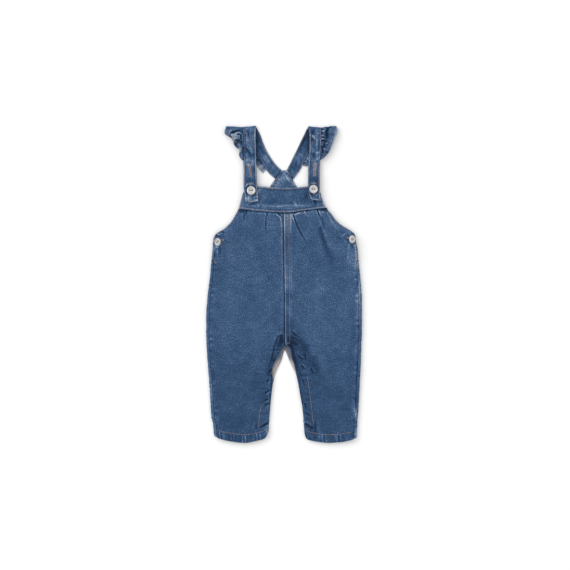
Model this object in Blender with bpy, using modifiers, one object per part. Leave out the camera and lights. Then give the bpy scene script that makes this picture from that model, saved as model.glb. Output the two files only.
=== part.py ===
"""A baby's denim dungarees with frilled shoulder straps, laid flat on their back.

Every sewn piece is a wall of cloth of its own: two front legs that meet on a felled centre seam, two
back legs that turn over the side folds and end at the side seams, a bib, the peak of the back, two
straps folded over at the shoulders, a gathered frill along each strap, and four buttons. +Y points to
the shoulders, +Z away from the surface that the garment lies on, and "left" is the side of -X. The
tables are in millimetres from the middle of the outline.
"""

import bmesh
import bpy
import numpy as np
from mathutils import Matrix, Vector

MM = 0.001
SEAM_GAP = 0.3  # between two pieces that are sewn together
SIDE_SEAM_GAP = 0.6  # at the side seams, where the back's wall leans under the front

# Walls of cloth
DENIM = 1.5
TURNED = 2.3  # hems, turned edges and the felled seam, where the cloth lies double
BIB_WALL = 2.3
PEAK_WALL = 2.3
STRAP_WALL = 1.7
FRILL_WALL = 1.2

# Bands of double cloth
HEM_BAND = 13.0
FELL_BAND = 10.5  # along the right front's centre seam, which laps over the left front
SIDE_BAND = 3.5
BAND_STEP = 3.0  # width of the slope from a band's raised face down to the single cloth
SEAM_RISE = 0.8  # how far a band stands above the cloth beside it
SEAM_FLAT = 3.5  # no fold comes this close to the centre seam or the inside of the leg
SEAM_CALM = 7.0  # and over this width from there they fade in

# Levels on the body
SIDE_TOP = 127.5  # where the bib's seam meets the armhole edges
CENTRE_TOP = 118.0  # where it meets the centre seam
SIDE_FOLD_TOP = 77.0  # the backs turn over the sides from here down
SIDE_FOLD_START = 7.0  # over this length
OPENING_END = 33.0  # lower end of the buttoned side openings
CROTCH = -96.0
CROTCH_START = 14.0  # over this length below it the fronts come down to the inside of the leg
FELL_END = -101.0
HEM_CORNER = -246.0  # outer and inner ends of the hems

# Heights above the surface
BODY_TOP = 6.3  # outer face of the fronts over the body
BODY_FALL = 30.0  # over this width the side roll comes down to it
BIB_AT_SEAM = 6.9
BIB_AT_TOP = 5.8
INSEAM_TOP = 3.9  # outer face of the front along the inside of the leg
INSEAM_RISE = 26.0  # over this width the front climbs from there to its full height
SHOULDER_FOLD = 5.2  # outside height of a folded strap

BUTTON_RADIUS = 7.7
BUTTON_HEIGHT = 2.8

BACK_TOP = 140.8
BACK_HEM_SHORT = 1.0  # the back hem hides this far behind the front hem
LOOSE_EDGE = 3.0  # strip along the back armhole that becomes the side fold below the waist


def table(columns, *rows):
    """Rows of numbers under named columns, sorted by the first column."""
    return {
        name: np.array(values, float)
        for name, values in zip(columns.split(), zip(*sorted(rows)))
    }


def read(rows, column, at):
    """The column on a smooth curve through its rows that never overshoots them."""
    key = rows[next(iter(rows))]
    value = rows[column]
    step = np.diff(key)
    rise = np.diff(value) / step
    before, after = rise[:-1], rise[1:]
    same = before * after > 0
    safe = np.where(same, before + after, 1.0)
    slope = np.concatenate(
        [rise[:1], np.where(same, 2 * before * after / safe, 0.0), rise[-1:]]
    )
    at = np.clip(np.asarray(at, float), key[0], key[-1])
    row = np.clip(np.searchsorted(key, at, side="right") - 1, 0, len(step) - 1)
    t = (at - key[row]) / step[row]
    return (
        value[row] * (1 + 2 * t) * (1 - t) ** 2
        + slope[row] * step[row] * t * (1 - t) ** 2
        + value[row + 1] * t * t * (3 - 2 * t)
        + slope[row + 1] * step[row] * t * t * (t - 1)
    )


def mix(a, b, t):
    return a + (b - a) * t


def ease(t):
    t = np.clip(t, 0.0, 1.0)
    return t * t * (3 - 2 * t)


# The outline of armholes, sides and legs, from the bib down to the hems
OUTLINE = table(
    "y left right",
    (130.0, -73.2, 69.6),
    (123.0, -75.5, 71.6),
    (116.3, -78.8, 77.6),
    (109.7, -82.1, 82.6),
    (103.1, -87.0, 88.4),
    (96.5, -93.6, 97.0),
    (89.9, -101.9, 108.0),
    (83.3, -110.8, 115.9),
    (79.2, -115.0, 118.6),
    (75.0, -116.7, 119.5),
    (57.0, -117.9, 120.9),
    (37.0, -120.0, 122.5),
    (11.0, -121.9, 125.8),
    (-9.0, -124.4, 127.6),
    (-26.0, -126.3, 128.3),
    (-55.0, -127.9, 128.4),
    (-82.0, -127.6, 128.2),
    (-101.5, -126.6, 127.2),
    (-134.5, -125.4, 126.0),
    (-161.0, -123.4, 124.4),
    (-207.0, -119.9, 122.4),
    (-227.0, -116.8, 121.0),
    (-262.0, -114.9, 120.3),
)
# The side roll: its full height, how far it reaches in from the side, how far in the front's edge
# lies, how high the front's outer face is where the cloth ends or folds, and how far, in degrees of
# turn, the back stops short of the front's edge in the buttoned side opening
ROLL = table(
    "y height reach seam edge short",
    (130.0, 6.5, 8.0, 0.0, 4.6, 34.0),
    (100.0, 6.8, 9.0, 0.0, 4.4, 34.0),
    (87.0, 8.3, 12.0, 0.0, 4.6, 34.0),
    (78.0, 10.0, 14.0, 0.0, 5.1, 34.0),
    (70.0, 10.4, 14.0, 0.0, 5.2, 34.0),
    (57.0, 10.2, 13.5, 0.0, 5.1, 34.0),
    (44.0, 8.8, 10.5, 0.0, 4.4, 30.0),
    (35.0, 7.8, 8.5, 4.4, 3.9, 0.0),
    (10.0, 7.0, 6.8, 5.4, 3.5, 0.0),
    (-230.0, 6.8, 6.5, 5.4, 3.4, 0.0),
    (-262.0, 6.8, 6.5, 5.2, 3.4, 0.0),
)
# Inner edges of the two fronts: the centre seam, then the inside of the legs
FRONT_INNER = table(
    "y left right",
    (125.0, 0.8, 0.8),
    (40.0, 1.6, 1.6),
    (-26.0, 2.4, 2.4),
    (-97.0, 2.9, 2.9),
    (-101.0, 0.6, 4.4),
    (-103.5, -2.3, 8.8),
    (-108.6, -6.4, 11.2),
    (-116.5, -9.8, 12.6),
    (-124.4, -13.6, 14.4),
    (-131.5, -18.0, 17.2),
    (-140.0, -20.0, 19.9),
    (-155.0, -19.4, 23.6),
    (-187.0, -21.9, 28.5),
    (-227.0, -25.2, 33.4),
    (-262.0, -27.0, 35.4),
)
# Inner edges of the two backs, which show past the fronts below the crotch
BACK_INNER = table(
    "y left right",
    (145.0, 1.2, 1.2),
    (-107.5, 1.2, 1.2),
    (-110.0, -0.2, 2.6),
    (-114.7, -2.3, 6.2),
    (-124.6, -6.4, 11.4),
    (-133.0, -10.4, 15.6),
    (-141.0, -14.4, 19.4),
    (-149.3, -16.9, 22.0),
    (-167.5, -19.2, 25.4),
    (-207.0, -22.7, 31.0),
    (-262.0, -26.6, 35.0),
)
# The back's armhole edges, which lie hidden inside the fronts'
BACK_ARMHOLE = table(
    "y left right",
    (141.0, -41.0, 41.6),
    (126.0, -56.0, 55.0),
    (113.0, -71.0, 69.5),
    (97.0, -86.5, 87.0),
    (85.0, -102.0, 104.5),
    (77.0, -113.0, 115.5),
    (70.0, -117.0, 119.6),
)
BIB_SEAM = table(
    "x y",
    (-74.5, 127.2),
    (-55.7, 123.6),
    (-36.0, 121.3),
    (2.1, 118.9),
    (35.0, 122.6),
    (53.2, 125.9),
    (70.5, 129.6),
)
BIB_TOP = table(
    "x y",
    (-66.8, 152.4),
    (-62.0, 156.0),
    (-55.7, 158.8),
    (-42.5, 161.8),
    (-19.4, 158.5),
    (3.7, 156.4),
    (23.5, 158.2),
    (41.7, 161.3),
    (52.0, 158.4),
    (57.5, 154.6),
    (61.0, 149.6),
)
# How far the bib's side edges have run outwards, from its top (0) to its seam (1)
BIB_SIDES = table(
    "down left right",
    (0.0, -66.8, 61.0),
    (0.5, -70.6, 65.2),
    (1.0, -74.2, 69.9),
)
HEM_LEFT = table(
    "x y",
    (-116.5, -242.0),
    (-113.5, -249.0),
    (-108.7, -253.0),
    (-87.7, -258.6),
    (-64.6, -261.2),
    (-47.8, -259.2),
    (-33.0, -255.2),
    (-28.5, -251.0),
    (-26.2, -245.8),
)
HEM_RIGHT = table(
    "x y",
    (34.4, -248.0),
    (35.8, -253.0),
    (40.0, -257.0),
    (51.6, -259.4),
    (72.7, -261.2),
    (94.8, -259.6),
    (110.6, -256.6),
    (118.0, -252.4),
    (121.0, -246.0),
)
# Soft folds in the fronts: each is a trough that runs from the seam that gathers it and fades out at
# its far end, with low ridges beside it
FOLD_RIDGE = 0.5  # the ridges' share of the trough's depth
FOLD_RIDGE_AT = 1.9  # and how many widths they lie from it
FOLDS = {
    "left": table(
        "x y end_x end_y width depth",
        (-65.6, 121.0, -64.5, 106.0, 3.2, 1.0),
        (-50.0, 121.0, -49.0, 110.0, 3.0, 0.6),
        (-28.5, 119.0, -29.5, 92.0, 3.4, 1.2),
        (-6.2, 117.0, -5.0, 98.0, 3.4, 1.1),
        (-84.0, 60.0, -118.0, 74.0, 5.0, -0.8),
        (-2.0, -97.0, -7.0, -74.0, 5.0, 1.2),
        (-20.0, -141.0, -48.0, -122.0, 6.0, 0.8),
        (-22.5, -178.0, -46.0, -170.0, 5.0, 0.9),
    ),
    "right": table(
        "x y end_x end_y width depth",
        (15.5, 119.0, 38.0, 68.0, 3.8, 1.3),
        (36.7, 122.0, 41.0, 108.0, 2.8, 1.0),
        (54.0, 124.0, 61.5, 104.0, 3.6, 1.6),
        (61.5, 104.0, 79.0, 36.0, 5.2, 1.5),
        (72.0, 120.0, 58.0, 117.0, 3.0, 0.7),
        (84.0, 58.0, 120.0, 72.0, 5.0, -0.8),
        (9.0, -97.0, 22.0, -66.0, 6.5, 1.4),
        (14.0, -122.0, 40.0, -116.0, 6.0, 0.8),
        (27.0, -178.0, 50.0, -172.0, 5.0, 0.8),
    ),
}


def height(side, y, from_side, from_inner):
    """Outer face of a front above the surface, before its folds: a roll at the side, level across the
    body, and down to the inside of the leg."""
    reach = read(ROLL, "reach", y)
    edge = read(ROLL, "edge", y)
    full = read(ROLL, "height", y)
    inside = np.clip(1 - from_side / reach, 0.0, 1.0)
    roll = edge + (full - edge) * np.sqrt(1 - inside**2)
    level = mix(roll, BODY_TOP, ease((from_side - reach) / BODY_FALL))
    leg = ease((CROTCH - y) / CROTCH_START)
    return mix(level, mix(INSEAM_TOP, level, ease(from_inner / INSEAM_RISE)), leg)


def fold_relief(side, x, y):
    """How far the soft folds raise or lower a point of a front."""
    total = np.zeros_like(x)
    for fold in zip(*FOLDS[side].values()):
        start_x, start_y, end_x, end_y, width, depth = fold
        run = np.hypot(end_x - start_x, end_y - start_y)
        dir_x, dir_y = (end_x - start_x) / run, (end_y - start_y) / run
        along = (x - start_x) * dir_x + (y - start_y) * dir_y
        across = (y - start_y) * dir_x - (x - start_x) * dir_y
        fade = (1 - ease(along / run)) * ease(1 + along / width)
        trough = np.exp(-((across / width) ** 2))
        ridge = np.exp(-((np.abs(across) / width - FOLD_RIDGE_AT) ** 2))
        total -= depth * fade * (trough - FOLD_RIDGE * ridge)
    return total


def raised(distance, band):
    """1 over a band of double cloth along an edge, 0 past the slope that ends it."""
    return 1 - ease((distance - band) / BAND_STEP + 0.5)


def spaced(count, *zones):
    """count + 1 fractions from 0 to 1, closer together where a zone (start, end, density) says so."""
    fine = np.linspace(0, 1, 400)
    density = np.ones_like(fine)
    for start, end, times in zones:
        density[(fine >= start) & (fine <= end)] = times
    total = np.concatenate([[0], np.cumsum((density[1:] + density[:-1]) / 2)])
    return np.interp(np.linspace(0, total[-1], count + 1), total, fine)


# Grids of the fronts and backs, finer along seams, hems and the folds under the bib
FRONT_ROWS = 38
FRONT_DOWN = spaced(FRONT_ROWS, (0.0, 0.16, 2.0), (0.56, 0.64, 1.6), (0.955, 1.0, 2.6))
FRONT_COLUMNS = 16
FRONT_ACROSS = spaced(FRONT_COLUMNS, (0.0, 0.08, 3.0), (0.9, 1.0, 1.6))
BACK_ROWS = 26
BACK_DOWN = spaced(BACK_ROWS, (0.12, 0.24, 1.8), (0.6, 0.72, 1.7), (0.965, 1.0, 2.0))
BACK_FOLD_COLUMNS = 5
BACK_FLAT_COLUMNS = 6


def place_front(side):
    """Where each (column, row) of a front lies, column 0 at the side and row 0 at the bib."""
    hem = HEM_LEFT if side == "left" else HEM_RIGHT
    turn = -1 if side == "left" else 1
    inner_gap = turn * SEAM_GAP / 2

    def place(across, down):
        across, down = FRONT_ACROSS[across], FRONT_DOWN[down]
        top_x = mix(
            read(OUTLINE, side, SIDE_TOP), read(FRONT_INNER, side, CENTRE_TOP), across
        )
        hem_start = read(OUTLINE, side, HEM_CORNER) - turn * read(ROLL, "seam", HEM_CORNER)
        hem_x = mix(hem_start, read(FRONT_INNER, side, HEM_CORNER), across)
        y = mix(
            read(BIB_SEAM, "y", top_x) - SEAM_GAP / 2, read(hem, "y", hem_x), down
        )
        outer = read(OUTLINE, side, y)
        start = outer - turn * (read(ROLL, "seam", y) + SEAM_GAP / 2)
        inner = read(FRONT_INNER, side, y) + inner_gap
        x = mix(start, inner, across)
        from_side = np.abs(x - outer)
        from_inner = np.abs(x - inner)
        from_hem = y - read(hem, "y", x)
        from_seam = np.abs(x - start)
        folds = fold_relief(side, x, y) * ease((from_inner - SEAM_FLAT) / SEAM_CALM)
        z = height(side, y, from_side, from_inner) + folds
        below_opening = ease((OPENING_END - y) / BAND_STEP)
        band = np.maximum(
            raised(from_hem, HEM_BAND), raised(from_seam, SIDE_BAND) * below_opening
        )
        if side == "right":
            above_crotch = ease((y - FELL_END) / BAND_STEP)
            band = np.maximum(band, raised(from_inner, FELL_BAND) * above_crotch)
        return x, y, z + SEAM_RISE * band, mix(DENIM, TURNED, band)

    return place


def place_back(side):
    """Where each (column, row) of a back lies: its first columns turn over the side fold, from the
    side seam on top to the surface, and the others lie flat to the centre back or inside leg."""
    hem = HEM_LEFT if side == "left" else HEM_RIGHT
    turn = -1 if side == "left" else 1

    def place(across, down):
        down = BACK_DOWN[down]
        folded = np.clip(across / BACK_FOLD_COLUMNS, 0, 1)
        flat = np.clip((across - BACK_FOLD_COLUMNS) / BACK_FLAT_COLUMNS, 0, 1)
        hem_outer = read(OUTLINE, side, HEM_CORNER)
        hem_reach = turn * read(ROLL, "reach", HEM_CORNER)
        hem_x = np.where(
            flat > 0,
            mix(hem_outer - hem_reach, read(BACK_INNER, side, HEM_CORNER), flat),
            hem_outer - hem_reach * np.abs(2 * folded - 1),
        )
        y = mix(BACK_TOP, read(hem, "y", hem_x) + BACK_HEM_SHORT, down)
        outer = read(OUTLINE, side, y)
        reach = read(ROLL, "reach", y)
        edge = read(ROLL, "edge", y)
        seam = np.maximum(read(ROLL, "seam", y) - SIDE_SEAM_GAP, 0.0)
        top_angle = np.pi - np.arcsin(1 - np.minimum(seam / reach, 1))
        top_angle = top_angle - np.radians(read(ROLL, "short", y))
        angle = mix(top_angle, 0.0, folded)
        fold_x = outer - turn * reach * (1 - np.sin(angle))
        fold_z = edge * (1 - np.cos(angle))
        armhole = read(BACK_ARMHOLE, side, y)
        turned_over = ease((SIDE_FOLD_TOP - y) / SIDE_FOLD_START)
        fold_x = mix(armhole - turn * LOOSE_EDGE * folded, fold_x, turned_over)
        inner = read(BACK_INNER, side, y) + turn * SEAM_GAP / 2
        start_x = mix(armhole - turn * LOOSE_EDGE, outer - turn * reach, turned_over)
        x = np.where(flat > 0, mix(start_x, inner, flat), fold_x)
        z = np.where(flat > 0, 0.0, fold_z * turned_over)
        from_hem = y - read(hem, "y", x) - BACK_HEM_SHORT
        return x, y, z, mix(DENIM, TURNED, raised(from_hem, HEM_BAND) * (flat > 0))

    return place


BIB_COLUMNS = 14
BIB_ROWS = 5


def place_bib(across, down):
    across, down = across / BIB_COLUMNS, down / BIB_ROWS
    x = mix(read(BIB_SIDES, "left", down), read(BIB_SIDES, "right", down), across)
    y = mix(read(BIB_TOP, "y", x), read(BIB_SEAM, "y", x) + SEAM_GAP / 2, down)
    return x, y, mix(BIB_AT_TOP, BIB_AT_SEAM, down), np.full_like(x, BIB_WALL)


# The peak of the back, seen inside the neck
PEAK = table(
    "y left right",
    (188.1, -3.3, 3.4),
    (182.0, -8.4, 7.9),
    (175.7, -13.4, 12.4),
    (162.5, -22.7, 20.6),
    (141.3, -37.5, 36.7),
)
PEAK_ROWS = 8
PEAK_COLUMNS = 5


def place_peak(across, down):
    y = mix(PEAK["y"][-1], PEAK["y"][0], down / PEAK_ROWS)
    x = mix(read(PEAK, "left", y), read(PEAK, "right", y), across / PEAK_COLUMNS)
    return x, y, np.zeros_like(x), np.full_like(x, PEAK_WALL)


# Each strap runs from its buttoned end over the shoulder fold to the peak of the back. "run" counts
# from 0 at the buttoned end to 1 at the fold and 2 at the peak, and under is its lower face.
STRAPS = {
    "left": table(
        "run outer_x outer_y inner_x inner_y under",
        (0.00, -62.3, 135.6, -42.5, 137.3, 7.00),
        (0.11, -63.9, 149.3, -43.6, 149.3, 6.55),
        (0.21, -65.1, 162.5, -44.3, 162.5, 6.10),
        (0.35, -65.8, 180.0, -44.8, 180.0, 5.40),
        (0.50, -66.2, 199.0, -45.2, 199.0, 4.60),
        (0.68, -66.4, 221.9, -46.2, 221.9, 4.00),
        (0.86, -67.4, 243.0, -46.8, 243.0, 3.60),
        (1.00, -69.3, 257.2, -46.4, 258.3, 3.50),
        (1.16, -60.5, 241.8, -39.6, 246.5, 0.0),
        (1.32, -52.6, 227.7, -34.0, 234.0, 0.0),
        (1.48, -43.6, 213.4, -27.6, 221.3, 0.0),
        (1.64, -34.6, 199.8, -20.4, 209.0, 0.0),
        (1.82, -24.6, 186.4, -12.9, 197.6, 0.0),
        (2.00, -14.3, 177.0, -4.9, 188.4, 0.0),
    ),
    "right": table(
        "run outer_x outer_y inner_x inner_y under",
        (0.00, 60.6, 139.4, 47.6, 141.8, 6.85),
        (0.05, 60.2, 145.0, 42.8, 147.6, 6.70),
        (0.11, 59.8, 151.0, 41.7, 153.0, 6.50),
        (0.21, 59.3, 163.5, 41.4, 163.5, 6.10),
        (0.35, 59.2, 181.0, 41.5, 181.0, 5.40),
        (0.50, 59.4, 200.0, 42.0, 200.0, 4.60),
        (0.68, 61.0, 221.9, 42.8, 221.9, 4.00),
        (0.86, 61.7, 243.0, 43.0, 243.0, 3.60),
        (1.00, 62.1, 256.6, 41.0, 258.4, 3.50),
        (1.16, 54.6, 243.6, 35.0, 247.5, 0.0),
        (1.32, 46.4, 229.5, 28.9, 235.6, 0.0),
        (1.48, 39.2, 215.5, 22.6, 222.4, 0.0),
        (1.64, 32.6, 202.6, 16.6, 210.8, 0.0),
        (1.82, 26.0, 190.3, 11.8, 199.6, 0.0),
        (2.00, 14.5, 174.6, 5.4, 187.6, 0.0),
    ),
}
STRAP_FRONT_ROWS = 14
STRAP_FOLD_ROWS = 6
STRAP_BACK_ROWS = 11
STRAP_COLUMNS = 3
FOLD_RADIUS = SHOULDER_FOLD / 2


def strap_edge(side, edge, run):
    return read(STRAPS[side], edge + "_x", run), read(STRAPS[side], edge + "_y", run)


def strap_path(row):
    """(run, turn) of a row: turn is the angle round the shoulder fold, 0 before it and pi past it."""
    past = row - STRAP_FRONT_ROWS
    turn = np.clip(past / STRAP_FOLD_ROWS, 0, 1) * np.pi
    run = np.where(
        past <= STRAP_FOLD_ROWS,
        np.minimum(row / STRAP_FRONT_ROWS, 1),
        1 + (past - STRAP_FOLD_ROWS) / STRAP_BACK_ROWS,
    )
    return run, turn


def place_strap(side):
    def place(across, row):
        run, turn = strap_path(row)
        outer_x, outer_y = strap_edge(side, "outer", run)
        inner_x, inner_y = strap_edge(side, "inner", run)
        width = across / STRAP_COLUMNS
        x = mix(outer_x, inner_x, width)
        y = mix(outer_y, inner_y, width) + FOLD_RADIUS * np.sin(turn)
        top = read(STRAPS[side], "under", np.minimum(run, 1)) + STRAP_WALL
        z = np.where(run > 1, 0.0, mix(0.0, top, (1 + np.cos(turn)) / 2))
        return x, y, z, np.full_like(x, STRAP_WALL)

    return place


# Each frill: the run of the strap where a fold line starts, and where that line ends at the hem
FRILLS = {
    "left": table(
        "run free_x free_y",
        (0.545, -67.2, 203.8),
        (0.58, -70.8, 206.4),
        (0.62, -73.9, 213.0),
        (0.67, -72.9, 220.6),
        (0.72, -76.6, 224.0),
        (0.77, -81.2, 229.8),
        (0.82, -83.4, 236.6),
        (0.86, -87.3, 241.8),
        (0.91, -94.4, 245.8),
        (0.96, -97.7, 251.5),
        (1.00, -94.6, 256.6),
        (1.08, -91.0, 252.0),
        (1.16, -84.4, 242.0),
        (1.25, -76.6, 230.0),
        (1.34, -69.0, 220.6),
        (1.44, -59.5, 210.5),
        (1.54, -51.0, 203.0),
        (1.62, -43.8, 196.4),
        (1.70, -37.4, 188.4),
        (1.76, -33.6, 183.8),
    ),
    "right": table(
        "run free_x free_y",
        (0.545, 61.3, 204.4),
        (0.58, 65.4, 208.4),
        (0.62, 70.4, 212.6),
        (0.67, 75.0, 219.2),
        (0.72, 78.2, 225.8),
        (0.77, 80.8, 231.8),
        (0.82, 82.7, 237.6),
        (0.86, 84.4, 243.0),
        (0.91, 87.2, 248.4),
        (0.96, 89.4, 253.2),
        (1.00, 89.2, 257.6),
        (1.08, 84.4, 251.0),
        (1.16, 79.4, 242.0),
        (1.25, 74.6, 230.5),
        (1.34, 68.0, 218.6),
        (1.44, 60.0, 206.6),
        (1.54, 50.8, 199.4),
        (1.60, 45.6, 196.8),
        (1.66, 41.4, 195.4),
    ),
}
# Gathers: how many waves before and after the shoulder fold, how deep they are at the seam and the
# hem, and how far they lean along the strap on their way out
GATHERS = {
    "left": {"front": 5.5, "back": 6.0, "seam": 0.6, "hem": 2.0, "lean": 0.8},
    "right": {"front": 7.5, "back": 6.0, "seam": 0.8, "hem": 1.1, "lean": 0.8},
}
FRILL_FRONT_ROWS = {"left": 24, "right": 30}
FRILL_FOLD_ROWS = 5
FRILL_BACK_ROWS = 24
FRILL_COLUMNS = 4
FRILL_SEAM_GAP = SEAM_GAP + 0.15
FRILL_SEAM_TOP = 5.0
FRILL_HEM_RISE = 2.0
FRILL_BACK_WAVE = 1.2
FRILL_BOW = 0.15  # how far a fold line bows towards the buttoned end, as a share of its own run
# The waves die away over these shares of each half's length, at its start and its end
CALM_FRONT = (0.08, 0.12)
CALM_BACK = (0.1, 0.06)


def calm(along, shares):
    return ease(along / shares[0]) * ease((1 - along) / shares[1])


def place_frill(side):
    rows = FRILLS[side]
    waves = GATHERS[side]
    first, last = rows["run"][0], rows["run"][-1]
    front_rows = FRILL_FRONT_ROWS[side]
    turn_side = -1 if side == "left" else 1

    def place(across, row):
        past = row - front_rows
        turn = np.clip(past / FRILL_FOLD_ROWS, 0, 1) * np.pi
        before = np.clip(row / front_rows, 0, 1)
        after = np.clip((past - FRILL_FOLD_ROWS) / FRILL_BACK_ROWS, 0, 1)
        run = mix(first, 1.0, before) + after * (last - 1)
        out = across / FRILL_COLUMNS
        seam_x, seam_y = strap_edge(side, "outer", run)
        seam_x = seam_x + turn_side * FRILL_SEAM_GAP
        x = mix(seam_x, read(rows, "free_x", run), out)
        bowed = out * (1 - FRILL_BOW * np.sin(np.pi * out))
        y = mix(seam_y, read(rows, "free_y", run), bowed)
        depth = mix(waves["seam"], waves["hem"], out) * calm(before, CALM_FRONT)
        wave = np.sin(2 * np.pi * waves["front"] * before + waves["lean"] * out)
        front_z = FRILL_SEAM_TOP + FRILL_HEM_RISE * out + depth * wave
        back_wave = np.sin(np.pi * waves["back"] * after + waves["lean"] * out) ** 2
        back_z = FRILL_BACK_WAVE * calm(after, CALM_BACK) * back_wave
        radius = front_z / 2
        y = y + radius * np.sin(turn)
        z = np.where(past > FRILL_FOLD_ROWS, back_z, radius * (1 + np.cos(turn)))
        return x, y, z, np.full_like(x, FRILL_WALL)

    return place


# Each button: its centre in plan, the height of the cloth under it, and its tilt about X and about Y
BUTTONS = {
    "strap_button_left": {"x": -54.0, "y": 155.2, "under": 8.5, "tilt_x": -3.0, "tilt_y": 0.0},
    "strap_button_right": {"x": 49.4, "y": 157.6, "under": 8.45, "tilt_x": -3.0, "tilt_y": 0.0},
    "side_button_left": {"x": -109.3, "y": 71.8, "under": 10.8, "tilt_x": 0.0, "tilt_y": -24.0},
    "side_button_right": {"x": 113.4, "y": 74.6, "under": 10.9, "tilt_x": 0.0, "tilt_y": 34.0},
}
# Half of a button's section, as fractions of its radius and height: rim, dished face, flat back
BUTTON_SECTION = (
    (0.0, 0.62),
    (0.50, 0.62),
    (0.62, 0.80),
    (0.74, 1.0),
    (0.90, 0.94),
    (1.0, 0.62),
    (1.0, 0.34),
    (0.86, 0.0),
    (0.0, 0.0),
)
BUTTON_SIDES = 20


def plain_material(name, colour, roughness):
    material = bpy.data.materials.new(name)
    material.use_nodes = True
    shader = material.node_tree.nodes["Principled BSDF"]
    shader.inputs["Base Color"].default_value = (*colour, 1)
    shader.inputs["Roughness"].default_value = roughness
    return material


def new_object(name, mesh, material, collection):
    item = bpy.data.objects.new(name, mesh)
    mesh.materials.append(material)
    collection.objects.link(item)
    mesh.shade_smooth()
    return item


def cloth(name, columns, rows, place, widest, faces_up, material, collection):
    """A closed wall of cloth: a grid laid on the piece's outer face, thickened inwards. The face at
    the end of its first row tells which way that outer face looks."""
    shape = bmesh.new()
    bmesh.ops.create_grid(shape, x_segments=columns, y_segments=rows, size=0.5)
    grid = np.array([vert.co[:2] for vert in shape.verts]) + 0.5
    across = np.round(grid[:, 0] * columns).astype(int)
    down = np.round(grid[:, 1] * rows).astype(int)
    x, y, z, wall = place(across, down)
    for vert, point in zip(shape.verts, zip(x, y, z)):
        vert.co = Vector(point) * MM
    shape.normal_update()
    shape.verts.ensure_lookup_table()
    corner = int(np.flatnonzero((across == columns) & (down == 0))[0])
    if (shape.verts[corner].link_faces[0].normal.z > 0) != faces_up:
        bmesh.ops.reverse_faces(shape, faces=shape.faces)
    mesh = bpy.data.meshes.new(name)
    shape.to_mesh(mesh)
    shape.free()
    item = new_object(name, mesh, material, collection)
    group = item.vertex_groups.new(name="wall")
    for index, thickness in enumerate(wall):
        group.add([index], float(thickness / widest), "REPLACE")
    solid = item.modifiers.new("wall", "SOLIDIFY")
    solid.thickness = widest * MM
    solid.offset = -1
    solid.vertex_group = "wall"
    return item


def button(name, spot, material, collection):
    """A turned two-hole button: its section spun round its axis, with the holes under the thread."""
    mesh = bpy.data.meshes.new(name)
    section = bmesh.new()
    points = [
        section.verts.new((radius * BUTTON_RADIUS * MM, 0, level * BUTTON_HEIGHT * MM))
        for radius, level in BUTTON_SECTION
    ]
    for a, b in zip(points, points[1:]):
        section.edges.new((a, b))
    bmesh.ops.spin(
        section,
        geom=section.verts[:] + section.edges[:],
        axis=(0, 0, 1),
        cent=(0, 0, 0),
        angle=2 * np.pi,
        steps=BUTTON_SIDES,
        use_merge=True,
    )
    bmesh.ops.remove_doubles(section, verts=section.verts, dist=0.00001)
    bmesh.ops.recalc_face_normals(section, faces=section.faces)
    section.to_mesh(mesh)
    section.free()
    item = new_object(name, mesh, material, collection)
    item.location = Vector((spot["x"], spot["y"], spot["under"])) * MM
    item.rotation_euler = (np.radians(spot["tilt_x"]), np.radians(spot["tilt_y"]), 0)
    return item


def clear_scene():
    for item in list(bpy.data.objects):
        bpy.data.objects.remove(item, do_unlink=True)


def centre_on_origin(items):
    """Moves every piece so that the outline's middle is over the origin."""
    bpy.context.view_layer.update()
    graph = bpy.context.evaluated_depsgraph_get()
    corners = []
    for item in items:
        shown = item.evaluated_get(graph)
        corners += [shown.matrix_world @ vert.co for vert in shown.data.vertices]
    low = Vector([min(corner[axis] for corner in corners) for axis in range(3)])
    high = Vector([max(corner[axis] for corner in corners) for axis in range(3)])
    middle = (low + high) / 2
    for item in items:
        item.matrix_world = Matrix.Translation((-middle.x, -middle.y, 0)) @ item.matrix_world


def main():
    clear_scene()
    collection = bpy.data.collections.new("dungarees")
    bpy.context.scene.collection.children.link(collection)
    denim = plain_material("denim", (0.055, 0.105, 0.205), 0.85)
    pearl = plain_material("button", (0.72, 0.71, 0.70), 0.3)
    items = []

    def add(name, columns, rows, place, widest, faces_up):
        items.append(
            cloth(name, columns, rows, place, widest, faces_up, denim, collection)
        )

    back_columns = BACK_FOLD_COLUMNS + BACK_FLAT_COLUMNS
    strap_rows = STRAP_FRONT_ROWS + STRAP_FOLD_ROWS + STRAP_BACK_ROWS
    for side in ("left", "right"):
        add(f"front_{side}", FRONT_COLUMNS, FRONT_ROWS, place_front(side), TURNED, True)
        add(f"back_{side}", back_columns, BACK_ROWS, place_back(side), TURNED, False)
        add(f"strap_{side}", STRAP_COLUMNS, strap_rows, place_strap(side), STRAP_WALL, True)
        frill_rows = FRILL_FRONT_ROWS[side] + FRILL_FOLD_ROWS + FRILL_BACK_ROWS
        add(f"frill_{side}", FRILL_COLUMNS, frill_rows, place_frill(side), FRILL_WALL, True)
    add("bib", BIB_COLUMNS, BIB_ROWS, place_bib, BIB_WALL, True)
    add("back_peak", PEAK_COLUMNS, PEAK_ROWS, place_peak, PEAK_WALL, False)
    for name, spot in BUTTONS.items():
        items.append(button(name, spot, pearl, collection))
    centre_on_origin(items)


main()
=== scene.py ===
"""How a baby's denim dungarees look, laid flat on their back.

Each sewn piece is a fine shell of cloth on the form of its solid, with the gathers, tucks, puckers
and wear-paled edges of denim after the wash, and in places shade painted into its colour.
Topstitching, buttonholes and bar tacks lie on the shells, and the four buttons are pearly, with two
holes each. Tables are in millimetres from the middle of the garment's outline, +Y to the shoulders
and +Z up, and "left" is the side of -X.
"""

import bmesh
import bpy
import numpy as np
from mathutils import Matrix, Vector
from mathutils.bvhtree import BVHTree


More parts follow.
